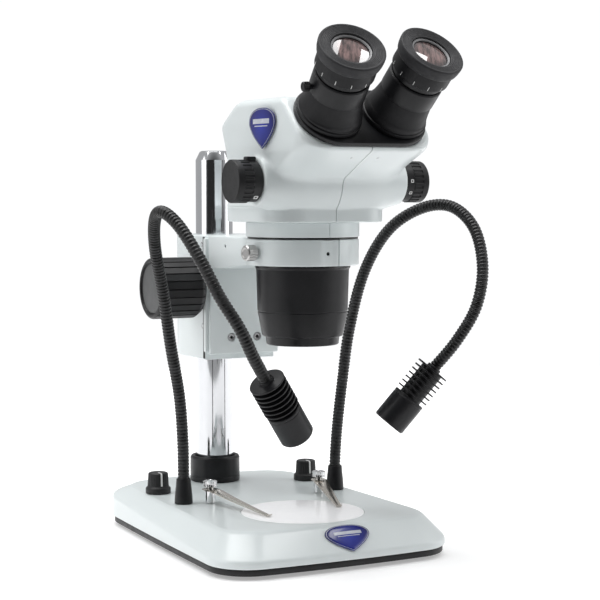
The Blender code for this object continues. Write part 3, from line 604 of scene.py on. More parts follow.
def make_clip(side, label):
    x, y = CLIP_POST
    post = facing((side * x, y, 0))
    flutes = grooved(0.32, 24, lambda r, h: r > 5.0 and 46.9 < h < 50.2)
    lathe(f"clip_post_{label}", [
        (0, 51.0), (1.6, 51.0), (2.0, 51.5), (3.2, 51.5), (5.5, 50.7), (5.55, 50.1), (5.55, 47.0),
        (5.5, 46.5), (4.4, 45.9), (2.6, 45.6), (2.6, 42.9), (4.0, 42.7), (4.1, 42.4),
        (4.1, PLATEAU_Z + 0.6), (3.8, PLATEAU_Z + 0.3), (2.2, PLATEAU_Z + 0.3), (2.2, 26),
        (0, 26)], "bright", "stand", post, 96, 0.22, flutes, replaces=f"clip_screw_{label}")
    tip = Vector((side * 33.3, -5.0 + 4.5 * side))
    run = tip - Vector((side * x, y))
    length = run.length
    # along, rise, half-width of the tapered leaf, from its eye to the curled tip
    stations = [(-6.2, 0.0, 2.2), (-5.9, 0.0, 3.4), (-5.0, 0.0, 4.7), (-3.0, 0.0, 5.9),
                (0.0, 0.0, 6.2), (4.5, 0.0, 6.1), (7.0, -0.2, 6.0), (length * 0.35, -3.6, 4.7),
                (length * 0.60, -6.4, 3.7), (length * 0.80, -8.6, 2.9), (length - 5, -10.0, 2.4),
                (length - 3.6, -10.35, 2.3), (length - 2.4, -10.35, 2.3),
                (length - 1.0, -9.9, 2.2), (length, -9.2, 2.0)]
    thick, rings = 0.7, []
    for a, r, h in stations:
        rings.append([(a, -h, r + 0.12), (a, -h + 0.25, r), (a, h - 0.25, r), (a, h, r + 0.12),
                      (a, h, r + thick - 0.12), (a, h - 0.25, r + thick),
                      (a, -h + 0.25, r + thick), (a, -h, r + thick - 0.12)])
    turn = Quaternion(Z, math.atan2(run.y, run.x)).to_matrix().to_4x4()
    leaf = skin(f"spring_leaf_{label}", rings, "steel", None,
                Matrix.Translation(at(side * x, y, 43.3)) @ turn)
    cut = drill(2.9, 50, 40, post)
    own(carve(leaf, [cut]), f"stage_clip_{label}", f"clip_leaf_{label}")


POINTER = math.radians(-93.0)  # where the dimmers' marks point, from +X towards +Y


def make_dimmer(side, label):
    x, y = DIMMER
    pointing = Vector((math.cos(POINTER), math.sin(POINTER), 0))
    spot = axes((side * x, y, 0), pointing, Z.cross(pointing))
    ribs = grooved(0.28, 30, lambda r, h: r > 8.0 and 38.5 < h < 49.2)
    lathe(f"dimmer_{label}", [
        (0, 49.6), (5.8, 49.6), (6.3, 50.0), (7.4, 50.0), (8.3, 49.2), (8.9, 38.9), (9.3, 38.3),
        (10.3, 37.4), (10.5, 36.4), (10.5, PLATEAU_Z + 0.3), (3.1, PLATEAU_Z + 0.3), (3.1, 27),
        (0, 27)], "plastic", f"dimmer_{label}", spot, 120, 0.4, ribs,
        replaces=f"dimmer_knob_{label}")
    brick(f"pointer_top_{label}", (1.2, -0.7, 49.5), (7.6, 0.7, 50.12), "mark",
          f"dimmer_{label}", spot, 0.05)
    bar = []
    for h, r in ((49.9, 7.5), (49.2, 8.2), (47.0, 8.46), (43.0, 8.68), (39.4, 8.92)):
        bar.append([(r - 0.5, -0.7, h), (r + 0.22, -0.7, h), (r + 0.22, 0.7, h),
                    (r - 0.5, 0.7, h)])
    skin(f"pointer_side_{label}", bar, "mark", f"dimmer_{label}", spot)


def make_inlet():
    spot = facing((48, 182, 18.5), Y)
    lathe("power_socket", [
        (0, 14.0), (3.2, 14.0), (3.2, 25.0), (3.6, 25.2), (6.6, 25.2), (7.2, 24.8), (7.2, 23.6),
        (5.2, 23.6), (5.2, 6), (0, 6)], "plastic", "stand", spot, 48, 0.2,
        replaces="power_inlet")
    lathe("power_pin", [(0, 24.2), (0.7, 24.0), (1.0, 23.4), (1.0, 13.6), (0, 13.6)], "bright",
          "stand", spot, 20, 0.1)


def shield_outline(half_width, height):
    """A plain shield: an arched top over sides that curve down to a soft point."""
    right = []
    for t in np.linspace(0.5 * math.pi, 0.0, 15)[:-1]:
        right.append((math.cos(t) ** 0.88, 0.30 + 0.70 * math.sin(t) ** 0.88))
    for t in np.linspace(0, 1, 22)[:-1]:
        right.append((1 - t ** 1.62, 0.30 - 1.30 * t))
    points = soften([(-x, y) for x, y in right[:0:-1]] + right + [(0.0, -1.0, 0.22)], 0, True, 6)
    wide, low, high = abs(points[:, 0]).max(), points[:, 1].min(), points[:, 1].max()
    return np.column_stack([points[:, 0] / wide * half_width,
                            (points[:, 1] - low) / (high - low) * height - height / 2])[::-1]


def make_badge(name, half_width, height, spot, body, replaces):
    """A domed shield in blue enamel, with a pale line and two plain bars and no lettering."""
    rim = shield_outline(half_width, height)

    def level(share, z):
        return np.column_stack([rim * share, np.full(len(rim), z)])

    edge = [(1.0, 0.0), (1.0, 0.50), (0.99, 0.66), (0.97, 0.72), (0.955, 0.70), (0.95, 0.4)]
    skin(f"{name}_edge", [level(*step) for step in edge], "blue", body, spot,
         replaces=replaces)
    line = [(0.955, 0.5), (0.953, 0.76), (0.945, 0.80), (0.935, 0.80), (0.93, 0.5)]
    skin(f"{name}_line", [level(*step) for step in line], "badge_line", body, spot)
    face = [(0.93, 0.4)] + [(0.93 * math.cos(a), 0.74 + 0.84 * math.sin(a))
                            for a in np.linspace(0, 1.47, 12)]
    skin(f"{name}_face", [level(*step) for step in face], "blue", body, spot, sharp=50)
    for k, (half, low, high) in enumerate(((0.62, 0.22, 0.46), (0.50, 0.08, 0.13))):
        steps = np.linspace(-half, half, 13)
        rows = []
        for x in steps:
            away = [min(math.hypot(x, y * 0.8), 0.99) for y in (low, high)]
            z = [0.74 + 0.84 * math.sin(math.acos(a)) for a in away]
            x, y = x * half_width, [low * height / 2, high * height / 2]
            rows.append([(x, y[0], z[0] - 0.4), (x, y[1], z[1] - 0.4), (x, y[1], z[1] + 0.05),
                         (x, y[0], z[0] + 0.05)])
        skin(f"{name}_bar_{k + 1}", rows, "badge_line", body, spot)


# ------------------------------------------------------------------ goosenecks and lamps

NECK_ROUTE = {
    "left": [(-70, 74, 33), (-70, 74, 56), (-71.5, 72, 86), (-76.5, 67, 122), (-88, 57, 163),
             (-100, 43, 205), (-115, 23, 241), (-124, 2, 263.5), (-126.5, -18, 270),
             (-121, -36, 260), (-111, -51, 236), (-100, -61, 209), (-86, -66, 185),
             (-74, -63, 164), (-62, -58, 147)],
    "right": [(70, 74, 33), (70, 74, 56), (71, 72, 86), (73, 67, 125), (76, 60, 170),
              (82, 46, 218), (92, 24, 253), (108, 0, 271), (122, -24, 273), (129, -47, 256),
              (128, -61, 226), (121, -63, 195), (109, -54, 168), (96, -43, 147)],
}
# where each neck starts and ends its bend, which lies between its two bodies
NECK_R, COIL_PITCH = 4.8, 2.8
LAMP = {
    "left": (Vector((-62.0, -58.0, 147.0)), Vector((0.571, 0.207, -0.794)).normalized()),
    "right": (Vector((96.0, -43.0, 147.0)), Vector((-0.587, 0.251, -0.770)).normalized()),
}


def smooth_route(points, step):
    """Points a step apart along a curve through all of the given ones."""
    pts = [np.array(p, float) for p in points]
    ends = [2 * pts[0] - pts[1], *pts, 2 * pts[-1] - pts[-2]]
    dense = []
    for i in range(1, len(ends) - 2):
        a, b, c, d = ends[i - 1:i + 3]
        for u in np.arange(24) / 24:
            dense.append(0.5 * (2 * b + (c - a) * u + (2 * a - 5 * b + 4 * c - d) * u ** 2
                                + (3 * b - a - 3 * c + d) * u ** 3))
    dense = np.array(dense + [pts[-1]])
    run = np.concatenate([[0], np.cumsum(np.linalg.norm(np.diff(dense, axis=0), axis=1))])
    spots = np.arange(0, run[-1], step)
    return np.column_stack([np.interp(spots, run, dense[:, k]) for k in range(3)]), spots


def tube_rings(route, radii, sides=24):
    """Rings round a route, carried along it without twist."""
    ahead = np.gradient(route, axis=0)
    ahead /= np.linalg.norm(ahead, axis=1)[:, None]
    across = np.cross(ahead[0], (1.0, 0.0, 0.0))
    rings = []
    angles = np.arange(sides) / sides * TAU
    for point, way, radius in zip(route, ahead, radii):
        across = across - way * (across @ way)
        across /= np.linalg.norm(across)
        other = np.cross(way, across)
        rings.append(point + radius * (np.cos(angles)[:, None] * across
                                       + np.sin(angles)[:, None] * other))
    return rings


def make_neck(side, label):
    x, y = NECK_ROOT
    lathe(f"neck_sleeve_{label}", [
        (5.4, 53.0), (5.8, 52.7), (6.0, 51), (6.25, 48), (6.6, 44.5), (7.0, 40.5), (7.3, 36.5),
        (7.4, PLATEAU_Z + 0.3), (5.2, PLATEAU_Z + 0.3), (5.2, 52.6)], "satin", "stand",
        facing((side * x, y, 0)), 56, 0.4, replaces=f"neck_boot_{label}")
    top, aim = LAMP[label]
    points = [*NECK_ROUTE[label][:-1], tuple(top), tuple(top + aim * 7)]
    route, run = smooth_route(points, COIL_PITCH / 9)
    # round wire in a coil, with a narrower wedge wire between its turns
    phase = np.mod(run / COIL_PITCH, 1.0)
    round_wire = np.sqrt(np.clip(1 - ((phase - 0.38) / 0.40) ** 2, 0, 1))
    radii = NECK_R - 0.72 + 0.70 * np.maximum(round_wire, 0.30 * (phase > 0.82))
    neck = skin(f"gooseneck_{label}", tube_rings(route, radii, 22), "neck", None, sharp=70)
    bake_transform(neck)
    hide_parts(f"neck_lower_{label}", f"neck_upper_{label}")

    spot = facing(top, -aim)
    head = f"neck_head_{label}"
    profile = [(0, -8.2), (NECK_R + 0.2, -8.2), (NECK_R + 0.2, -0.5), (5.4, -0.3), (5.9, -0.9),
               (6.1, -3.0)]
    for k in range(7):
        h = -3.0 - 4.1 * k
        profile += [(13.8, h), (14, h - 0.25), (14, h - 1.05), (13.8, h - 1.3), (9.5, h - 1.3),
                    (9.5, h - 4.1)]
    profile += [(12.9, -31.7), (13.4, -32.3), (13.4, -33.6), (13.15, -33.9), (13.15, -34.5),
                (13.4, -34.8), (13.4, -57.3), (12.7, -58.4), (10.6, -58.5), (10.1, -58.1),
                (9.4, -55.5), (0, -55.5)]
    lathe(f"lamp_body_{label}", profile, "satin", head, spot, 72, 0.18,
          replaces=f"lamp_{label}")
    lathe(f"lamp_window_{label}", [(0, -57.4), (4, -57.2), (8.2, -56.4), (8.9, -55.9),
                                   (8.9, -55.45), (0, -55.45)], "led", head, spot, 48, 0.1)


# ------------------------------------------------------------------ focus block and carriage

def make_block():
    low, high = BLOCK_Z
    outline = []
    for y in np.linspace(BLOCK_FRONT, PILLAR_Y, 10, endpoint=False):
        outline.append((BLOCK_HALF, y))
    for k in range(41):
        angle = math.pi * k / 40
        outline.append((BLOCK_HALF * math.cos(angle),
                        PILLAR_Y + 1.05 * BLOCK_HALF * math.sin(angle)))
    for y in np.linspace(PILLAR_Y, BLOCK_FRONT, 10, endpoint=False)[1:]:
        outline.append((-BLOCK_HALF, y))
    outline.append((-BLOCK_HALF, BLOCK_FRONT))
    for x in np.linspace(-BLOCK_HALF, BLOCK_HALF, 12)[1:-1]:
        outline.append((x, BLOCK_FRONT))
    outline = round_corners(outline, {0: 0.7, len(outline) - 11: 0.7})
    hole = circle_for(outline, PILLAR_R + 0.35, (0.0, PILLAR_Y))
    block = slab("block_casting", outline, low, high, "paint", None, edge=1.0, hole=hole)
    cuts = [drill(3.4, 90, -90, facing((0, PINION_Y, PINION_Z), X)),
            tool(brick, (-6.5, PINION_Y - 8, PINION_Z - 7.5), (6.5, PINION_Y + 8, PINION_Z + 7.5),
                 edge=0.1),
            drill(3.4, 50, 8, facing((0, PILLAR_Y, CLAMP_Z), Y))]
    own(carve(block, cuts), "focus_block", "focus_housing")
    # painted shade: a thin near-black strip along each side of the block, behind the slide plate's
    # overhang
    for side, label in SIDES:
        inner, outer = sorted((side * 31.6, side * 32.08))
        brick(f"painted_slide_shade_{label}", (inner, 114.6, low + 0.9), (outer, 118.6, high - 0.9), "dark",
              "focus_block", edge=0.05)
    lobes = grooved(1.1, 12, lambda r, h: r > 11.0 and h > 37.0)
    lathe("clamp_handwheel", [
        (0, 51.6), (5.4, 51.6), (6.2, 52.5), (9.5, 52.5), (13, 50.0), (13, 38.4), (12.2, 37.4),
        (7, 34.9), (3, 34.4), (3, 17), (0, 17)], "plastic", "block_clamp",
        facing((0, PILLAR_Y, CLAMP_Z), Y), 96, 0.6, lobes, replaces="block_clamp_knob")
    for name, spot, out in (("block_screw_top", (-BLOCK_HALF, 120.5, 240.5), -X),
                            ("block_screw_low", (-BLOCK_HALF, 119.5, 172.0), -X),
                            ("block_screw_right", (BLOCK_HALF, 119.5, 172.0), X)):
        grub_screw(name, spot, out, "focus_block", 2.3)


def round_corners(outline, corners):
    """Replaces the numbered points of an outline with small arcs."""
    out = []
    for i, point in enumerate(outline):
        here = np.array(point, float)
        if i not in corners:
            out.append(tuple(here))
            continue
        before = np.array(outline[i - 1], float) - here
        after = np.array(outline[(i + 1) % len(outline)], float) - here
        p = here + before / np.linalg.norm(before) * corners[i]
        q = here + after / np.linalg.norm(after) * corners[i]
        out += [tuple((1 - t) ** 2 * p + 2 * t * (1 - t) * here + t * t * q)
                for t in np.linspace(0, 1, 6)]
    return out


def grub_screw(name, spot, out, body, radius):
    """A small socket screw, flush with its face: a pale ring round a hexagonal hole."""
    socket = hexagonal(lambda r, h: r < radius * 0.6)
    lathe(name, [(0, -0.9), (radius * 0.52, -0.9), (radius * 0.55, 0.06), (radius * 0.85, 0.12),
                 (radius, 0.0), (radius, -1.2), (0, -1.2)], "screw", body, facing(spot, out), 48,
          0.05, socket)


def make_focus_drive():
    outline = []
    for k in range(10):
        centre = math.radians(-90) + TAU * k / 10
        for radius, half in ((4.15, -0.80), (4.9, -0.55), (5.5, -0.30), (5.5, 0.30), (4.9, 0.55),
                             (4.15, 0.80)):
            angle = centre + half / radius
            outline.append((radius * math.sin(angle), radius * math.cos(angle)))
    spin = axes((0, PINION_Y, PINION_Z), Y, Z)
    teeth = [[(x, y, z) for x, y in outline] for z in (-4.2, 4.2)]
    pinion = skin("pinion_gear", teeth, "bright", None, spin)
    core = tool(lathe, [(0, 71), (2.6, 71), (3.0, 70.6), (3.0, -59.6), (2.6, -60), (0, -60)],
                place=spin, segments=32, edge=0)
    own(carve(pinion, [core], "UNION"), "focus_drive", "pinion_shaft")

    edges = []
    for k in range(24):
        middle = TAU * k / 24
        edges += [middle + d for d in (-0.026, -0.018, 0.018, 0.026)]

    def fluted(angles, r, h):
        """Twenty-four flats with a narrow groove between each two."""
        if r < 24.4 or h < 39.5 or h > 78.6:
            return np.full(len(angles), r)
        phase = np.mod(angles + TAU / 48, TAU / 24) - TAU / 48
        flat = r * np.cos(TAU / 48) / np.cos(np.abs(phase) - TAU / 48)
        groove = np.clip((0.026 - np.abs(phase)) / 0.008, 0, 1)
        return flat * 1.002 - 1.05 * groove

    for side, label in SIDES:
        deep = 71.5 if side > 0 else 60.5
        spot = facing((0, PINION_Y, PINION_Z), X * side)
        lathe(f"focus_wheel_{label}", [
            (0, 77.6), (20.8, 77.6), (21.4, 78.4), (21.7, 79.8), (23.6, 79.8), (25.0, 78.8),
            (25.4, 77.4), (25.45, 60), (25.45, 43.4), (24.7, 42.0), (22.0, 38.6), (10.0, 38.0),
            (10.0, 34.6), (3.3, 34.6), (3.3, deep), (0, deep)], "plastic", "focus_drive", spot,
            96, 0.5, fluted, edges, replaces=f"focus_knob_{label}")
        lathe(f"focus_cap_{label}", [(0, 78.5), (19.6, 78.5), (20.5, 78.1), (20.6, 77.5),
                                     (0, 77.5)], "cap", "focus_drive", spot, 96, 0.3)


def make_carriage():
    plate = brick("slide_plate", (-34, 108.7, 151), (34, 113.7, 246), "paint", None, edge=0.8)
    holes = [tool(brick, (-4.8, 110.0, 138), (4.8, 114.5, 260), edge=0.1)]
    for side in (-1, 1):
        holes.append(drill(2.0, 12, 0, facing((side * 12, 101, 163), Y), 24))
    own(carve(plate, holes), "carriage", "carriage_plate")
    pitch, root, tip, back = math.pi, 112.2, 113.6, 110.3
    low, high = 172.0, 234.0
    outline = [(back, low), (root, low)]
    first, last = (math.ceil((low + 1.2 - PINION_Z) / pitch - 0.5),
                   math.floor((high - 1.2 - PINION_Z) / pitch - 0.5))
    for k in range(first, last + 1):
        z = PINION_Z + (k + 0.5) * pitch
        outline += [(root, z - 0.90), (tip, z - 0.38), (tip, z + 0.38), (root, z + 0.90)]
    outline += [(root, high), (back, high)]
    skin("rack_bar", [[(x, y, z) for y, z in outline] for x in (-4.5, 4.5)], "steel", "carriage",
         replaces="focus_rack")
    for side, label in SIDES:
        spot = facing((side * 12.0, 0, 163.0), -Y)
        hexagon = hexagonal(lambda r, h: 0.5 < r < 1.62 and h < -104.5)
        lathe(f"socket_screw_{label}", [
            (0, -106.2), (1.6, -106.2), (1.6, -104.95), (3.0, -104.9), (3.3, -105.3),
            (3.3, -107.7), (1.7, -107.7), (1.7, -112.0), (0, -112.0)], "screw", "carriage", spot,
            48, 0.12, hexagon, replaces=f"carriage_screw_{label}")
        # painted shade: a near-black disc at the bottom of each screw's hexagonal socket
        lathe(f"painted_socket_shade_{label}", [(0, -106.1), (1.5, -106.1), (1.5, -106.5), (0, -106.5)],
              "dark", "carriage", spot, 24, 0.0)


RING_SCREW = facing((0, 0, 238), (math.cos(math.radians(188)), math.sin(math.radians(188)), 0))
RING_GRUB = facing((-0.6, -43.1, 237.6), -Y)
ARM_GRUB = facing((-32.0, 74.0, 240.6), -X)


def make_ring_arm():
    """Ring, web and bolting plate of one casting, with the ring's clamping slit."""
    low, high = RING_Z
    outline = []
    join = math.asin(32.0 / RING_R)
    slit = math.radians(11.5)
    steps = np.linspace(-(math.pi - join), math.pi - join, 97)
    steps = np.sort(np.concatenate([steps, [slit - 0.012, slit - 0.0105, slit + 0.0105,
                                            slit + 0.012]]))
    flat = 5.6
    for angle in steps:  # measured from the front, towards +X
        r = RING_R - (2.6 if abs(angle - slit) < 0.0112 else 0.0)
        x, y = r * math.sin(angle), -r * math.cos(angle)
        if abs(x) < flat + 2.0 and y < 0:
            y = max(y, -43.1) if abs(x) < flat else y
        outline.append((x, y))
    back = 106.0
    side_y = np.linspace(outline[-1][1], back, 14)
    outline += [(32.0, y) for y in side_y[1:]]
    outline += [(x, back) for x in np.linspace(32.0, -32.0, 18)[1:-1]]
    outline += [(-32.0, y) for y in side_y[::-1][:-1]]

    def under(x, y):
        if y < 25.0:
            return low
        return low - 7.6 * min((y - 25.0) / 81.0, 1.0) ** 0.9

    hole = circle_for(outline, RING_BORE)
    arm = slab("ring_casting", outline, under, high, "paint", None, edge=0.9, hole=hole)
    plate = tool(brick, (-31.7, 105.0, 149.1), (31.7, 108.4, 247.7), edge=1.1)
    carve(arm, [plate], "UNION")
    cuts = [drill(2.9, 60, 20, RING_SCREW), drill(1.5, 3, -4.5, RING_GRUB, 28),
            drill(1.3, 3, -4, ARM_GRUB, 24)]
    for side in (-1, 1):
        cuts.append(tool(lathe, [(0, 9), (3.7, 9), (3.7, 0), (2.0, 0), (2.0, -2), (0, -2)],
                         segments=40, edge=0, place=facing((side * 12, 108.0, 163), -Y)))
    own(carve(arm, cuts), "carriage", "ring_arm")
    # the grub screws are near-black, which also paints the shade inside their holes
    for name, spot, radius in (("ring_grub_screw", RING_GRUB, 1.47),
                               ("arm_grub_screw", ARM_GRUB, 1.27)):
        lathe(name, [(0, -1.6), (radius * 0.5, -1.6), (radius * 0.55, -0.7), (radius, -0.9),
                     (radius, -4.2), (0, -4.2)], "dark", "carriage", spot, 24, 0.05)
    knurl = grooved(0.42, 26, lambda r, h: r > 5.9 and 46.2 < h < 53.4)
    lathe("ring_clamp_screw", [
        (0, 54.1), (3.4, 54.1), (3.9, 54.5), (5.2, 54.5), (6.1, 53.5), (6.2, 53.0), (6.2, 46.6),
        (6.0, 46.0), (5.2, 45.2), (3.4, 44.9), (2.5, 44.3), (2.5, 38.6), (0, 38.6)], "nickel",
        "ring_screw", RING_SCREW, 130, 0.25, knurl,
        replaces="ring_thumbscrew")


# ------------------------------------------------------------------ head

# height, front, rear, half-width in front and behind, corner in front and behind
HEAD_LEVELS = np.array([
    (262.0, -54.5, 40.0, 53.0, 54.0, 26.0, 22.0), (273.6, -55.0, 40.0, 53.0, 54.0, 26.0, 22.0),
    (282.3, -59.3, 34.0, 54.0, 56.0, 27.0, 20.0), (293.4, -63.8, 28.0, 53.0, 58.0, 28.0, 18.0),
    (305.0, -88.0, 23.0, 53.0, 60.0, 27.0, 16.0), (316.0, -111.0, 20.0, 54.0, 62.0, 24.0, 14.0),
    (335.0, -118.0, 26.0, 54.0, 63.0, 20.0, 14.0), (351.0, -118.0, 4.0, 53.0, 61.0, 20.0, 14.0),
    (358.0, -118.0, -4.5, 53.0, 60.5, 20.0, 14.0)])
HEAD_COLLAR = (-54.5, 45.0, 51.0, 52.0, 26.0, 22.0)
HEAD_WALL, SEAM_HALF = 4.0, 0.3


def join_round(a, b, r):
    """The union of two fields, with a fillet of the radius between them."""
    return np.maximum(r, np.minimum(a, b)) - np.hypot(np.maximum(r - a, 0), np.maximum(r - b, 0))


def cut_round(a, b, r):
    """What two fields share, with its edge rounded to the radius."""
    return np.minimum(-r, np.maximum(a, b)) + np.hypot(np.maximum(r + a, 0),
                                                       np.maximum(r + b, 0))


def plan_field(x, y, front, rear, half_front, half_rear, corner_front, corner_rear):
    """Distance from a four-sided plan with rounded corners that is narrower in front."""
    lean = (half_rear - half_front) / (rear - front)
    side = (x - half_front - lean * (y - front)) / np.sqrt(1 + lean * lean)
    return np.maximum(cut_round(front - y, side, corner_front),
                      cut_round(y - rear, side, corner_rear))


def level_values(z, softness=2.6):
    """The head's plan at heights z, averaged over a few millimetres to soften its edges."""
    values = []
    for column in range(1, HEAD_LEVELS.shape[1]):
        values.append(np.mean([np.interp(z + d, HEAD_LEVELS[:, 0], HEAD_LEVELS[:, column])
                               for d in np.linspace(-softness, softness, 7)], axis=0))
    return values


def head_field(p):
    """Signed distance, about, from the head's outer skin. p is an array of points."""
    x, y, z = np.abs(p[:, 0]), p[:, 1], p[:, 2]
    plan = plan_field(x, y, *level_values(z))
    above = plan_field(x, y, *level_values(z + 0.5))
    body = plan / np.sqrt(1 + ((above - plan) / 0.5) ** 2)
    body = cut_round(body, 273.4 - z, 1.6)
    body = cut_round(body, z - HEAD_TOP, 6.0)
    slope = (z - y - EYE_PLANE) / math.sqrt(2)
    body = cut_round(body, slope, 3.2)
    collar = plan_field(x, y, *HEAD_COLLAR)
    collar = cut_round(cut_round(collar, HEAD_Z - z, 1.0), z - 276.0, 1.0)
    taper = 24.3 - 6.5 * np.clip(x / 61.0, 0, 1) ** 2.0
    barrel = cut_round(np.hypot(y - ZOOM_Y, z - ZOOM_Z) - taper, x - 61.0, 1.3)
    return join_round(join_round(body, barrel, 3.4), collar, 0.9)


def shell_field(p):
    """The head's casting: its skin, less the hollow and the bore of the zoom shaft."""
    skin_at = head_field(p)
    bore = np.hypot(p[:, 1] - ZOOM_Y, p[:, 2] - ZOOM_Z) - 3.7
    return np.maximum(np.maximum(skin_at, -(skin_at + HEAD_WALL)), -bore)


def surface_net(field, low, high, step):
    """Quads over a field's zero surface. Each point is then drawn onto the surface itself."""
    low = np.array(low, float)
    shape = np.ceil((np.array(high) - low) / step).astype(int) + 1
    grid = np.stack(np.meshgrid(*(low[k] + step * np.arange(shape[k]) for k in range(3)),
                                indexing="ij"), -1)
    value = field(grid.reshape(-1, 3)).reshape(shape)
    inside = value < 0
    corners = sum(inside[i:shape[0] - 1 + i, j:shape[1] - 1 + j, k:shape[2] - 1 + k].astype(int)
                  for i in (0, 1) for j in (0, 1) for k in (0, 1))
    active = (corners > 0) & (corners < 8)
    index = np.full(active.shape, -1)
    index[active] = np.arange(active.sum())
    cells = np.argwhere(active)
    total, number = np.zeros((len(cells), 3)), np.zeros(len(cells))
    unit = np.eye(3, dtype=int)
    for axis in range(3):
        a, b = (k for k in range(3) if k != axis)
        for i in (0, 1):
            for j in (0, 1):
                here = cells + i * unit[a] + j * unit[b]
                there = here + unit[axis]
                f0, f1 = value[tuple(here.T)], value[tuple(there.T)]
                cross = (f0 < 0) != (f1 < 0)
                share = np.where(cross, f0 / np.where(cross, f0 - f1, 1.0), 0.0)
                total += np.where(cross[:, None], here + share[:, None] * unit[axis], 0.0)
                number += cross
    points = low + step * total / number[:, None]
    faces = []
    for axis in range(3):
        a, b = (k for k in range(3) if k != axis)
        last = [slice(None)] * 3
        first = list(last)
        first[axis], last[axis] = slice(0, -1), slice(1, None)
        edges = np.argwhere(inside[tuple(first)] != inside[tuple(last)])
        keep = ((edges[:, a] > 0) & (edges[:, b] > 0) & (edges[:, a] < shape[a] - 1)
                & (edges[:, b] < shape[b] - 1))
        edges = edges[keep]
        faces.append(np.column_stack([index[tuple((edges - s).T)] for s in
                                      (0 * unit[a], unit[a], unit[a] + unit[b], unit[b])]))
    for _ in range(4):
        value = field(points)
        slope = np.column_stack([(field(points + 0.05 * unit[k]) - field(points - 0.05 * unit[k]))
                                 / 0.1 for k in range(3)])
        move = -value[:, None] * slope / np.maximum((slope ** 2).sum(1), 0.2)[:, None]
        reach = np.linalg.norm(move, axis=1)[:, None]
        points = points + move * np.minimum(1.0, 0.4 * step / np.maximum(reach, 1e-9))
    return points, np.concatenate(faces)


def make_head_shells():
    points, faces = surface_net(shell_field, (-3.9, -119, 259), (63.7, 49, 357), 1.3)
    work = bmesh.new()
    verts = [work.verts.new(p) for p in points]
    for face in faces:
        work.faces.new([verts[i] for i in face])
    cut = bmesh.ops.bisect_plane(work, geom=work.verts[:] + work.edges[:] + work.faces[:],
                                 plane_co=(SEAM_HALF, 0, 0), plane_no=(1, 0, 0), dist=1e-5,
                                 clear_inner=True)
    rim = [e for e in cut["geom_cut"] if isinstance(e, bmesh.types.BMEdge)]
    bmesh.ops.triangle_fill(work, edges=rim, use_beauty=True, normal=(-1, 0, 0))
    work.verts.index_update()
    points = [tuple(v.co) for v in work.verts]
    faces = [[v.index for v in f.verts] for f in work.faces]
    work.free()
    for side, label in SIDES:
        put(f"head_casting_{label}", [(side * x, y, z) for x, y, z in points], faces, "paint",
            "head", sharp=38, replaces=f"head_shell_{label}")


def make_head():
    make_head_shells()

    def seamed(angles, r, h):
        near = np.abs(np.mod(angles + math.pi / 2 + math.pi, TAU) - math.pi) < 0.0068
        return np.full(len(angles), r) - np.where(near & (r > 40), 0.7, 0)

    front = -math.pi / 2
    seam = [front + d for d in (-0.0075, -0.0066, 0.0066, 0.0075)]
    lathe("head_mount", [
        (44.0, 261.3), (44.4, 260.8), (44.4, 250.4), (44.0, 250.0), (37.6, 249.8), (37.6, 228.9),
        (30.0, 228.9), (30.0, 261.3)], "paint", "head", LAYOUT, 120, 0.5, seamed, seam,
        replaces="mount_flange")
    # painted shade: a black ring filling the gap between the ring casting and the mount flange
    lathe("ring_gap_shade", [(43.3, 249.8), (43.3, 248.5), (38.3, 248.5), (38.3, 249.8)], "gloss",
          "head", LAYOUT, 120, 0.2)
    lathe("objective_barrel", [
        (37.2, 228.5), (37.2, 225.6), (36.9, 225.0), (36.5, 224.7), (36.4, 223.9), (35.45, 192.4),
        (35.05, 192.0), (35.05, 191.4), (35.3, 191.0), (31.9, 173.4), (31.5, 172.4), (29.6, 172.0),
        (29.0, 171.5), (28.4, 166.3), (27.6, 165.6), (20.9, 165.6), (20.4, 166.2), (20.4, 171.0),
        (25.0, 173.0), (29.5, 190.6), (31.0, 228.5)], "satin", "head", LAYOUT, 128, 0.25,
        replaces="objective_housing")
    lathe("objective_trim", [(36.75, 227.4), (36.75, 225.9), (37.5, 225.9), (37.5, 227.4)],
          "gloss", "head", LAYOUT, 120, 0.15)
    lens = [(0.0, 166.8)] + [(r, 166.8 + 1.2 * (r / 20.0) ** 2) for r in np.linspace(2, 20, 10)]
    lens += [(20.0, 170.6)] + [(r, 171.6 - 1.0 * (r / 20.0) ** 2)
                               for r in np.linspace(18, 2, 9)] + [(0.0, 171.6)]
    lathe("objective_glass", lens, "glass", "head", LAYOUT, 96, 0.0, replaces="front_lens")

    outline = []
    for sign in (1, -1):
        for k in range(29):
            angle = math.radians((-90 if sign > 0 else 90) + 180 * k / 28)
            outline.append((sign * 24.0 + 28.8 * math.cos(angle), 28.8 * math.sin(angle)))
    spot = axes(slope_point(0, 175.7, 0.3), X, UPSLOPE)
    plate = slab("tube_plate", outline, 0.0, 4.0, "satin", None, spot, edge=0.7)
    holes = [drill(14, 12, -12, facing(slope_point(side * 26.5, 175.7, 0), NORMAL), 64)
             for side in (-1, 1)]
    own(carve(plate, holes), "head", "eyepiece_plate")

    down = Vector((0, -22.6, -46.5)).normalized()
    for side, label in SIDES:
        lathe(f"cover_pin_{label}", [(0, 0.25), (0.5, 0.22), (0.95, 0.0), (0.95, -0.9),
                                     (0, -0.9)], "screw", "head",
              facing((side * 11.0, -97.0, 309.2), down), 20, 0.05)
    make_badge("head_shield", 18.5, 30.0, axes((-59.7, -50.0, 331.5), (0.08, -1, 0), Z), "head",
               "head_badge")


# degrees from +Y about +X, place along the axis and half-size of the marks on each zoom collar
ZOOM_MARKS = {"left": [(231.0, 65.4, 1.7)], "right": [(178.0, 66.3, 1.3), (214.0, 66.3, 1.3)]}


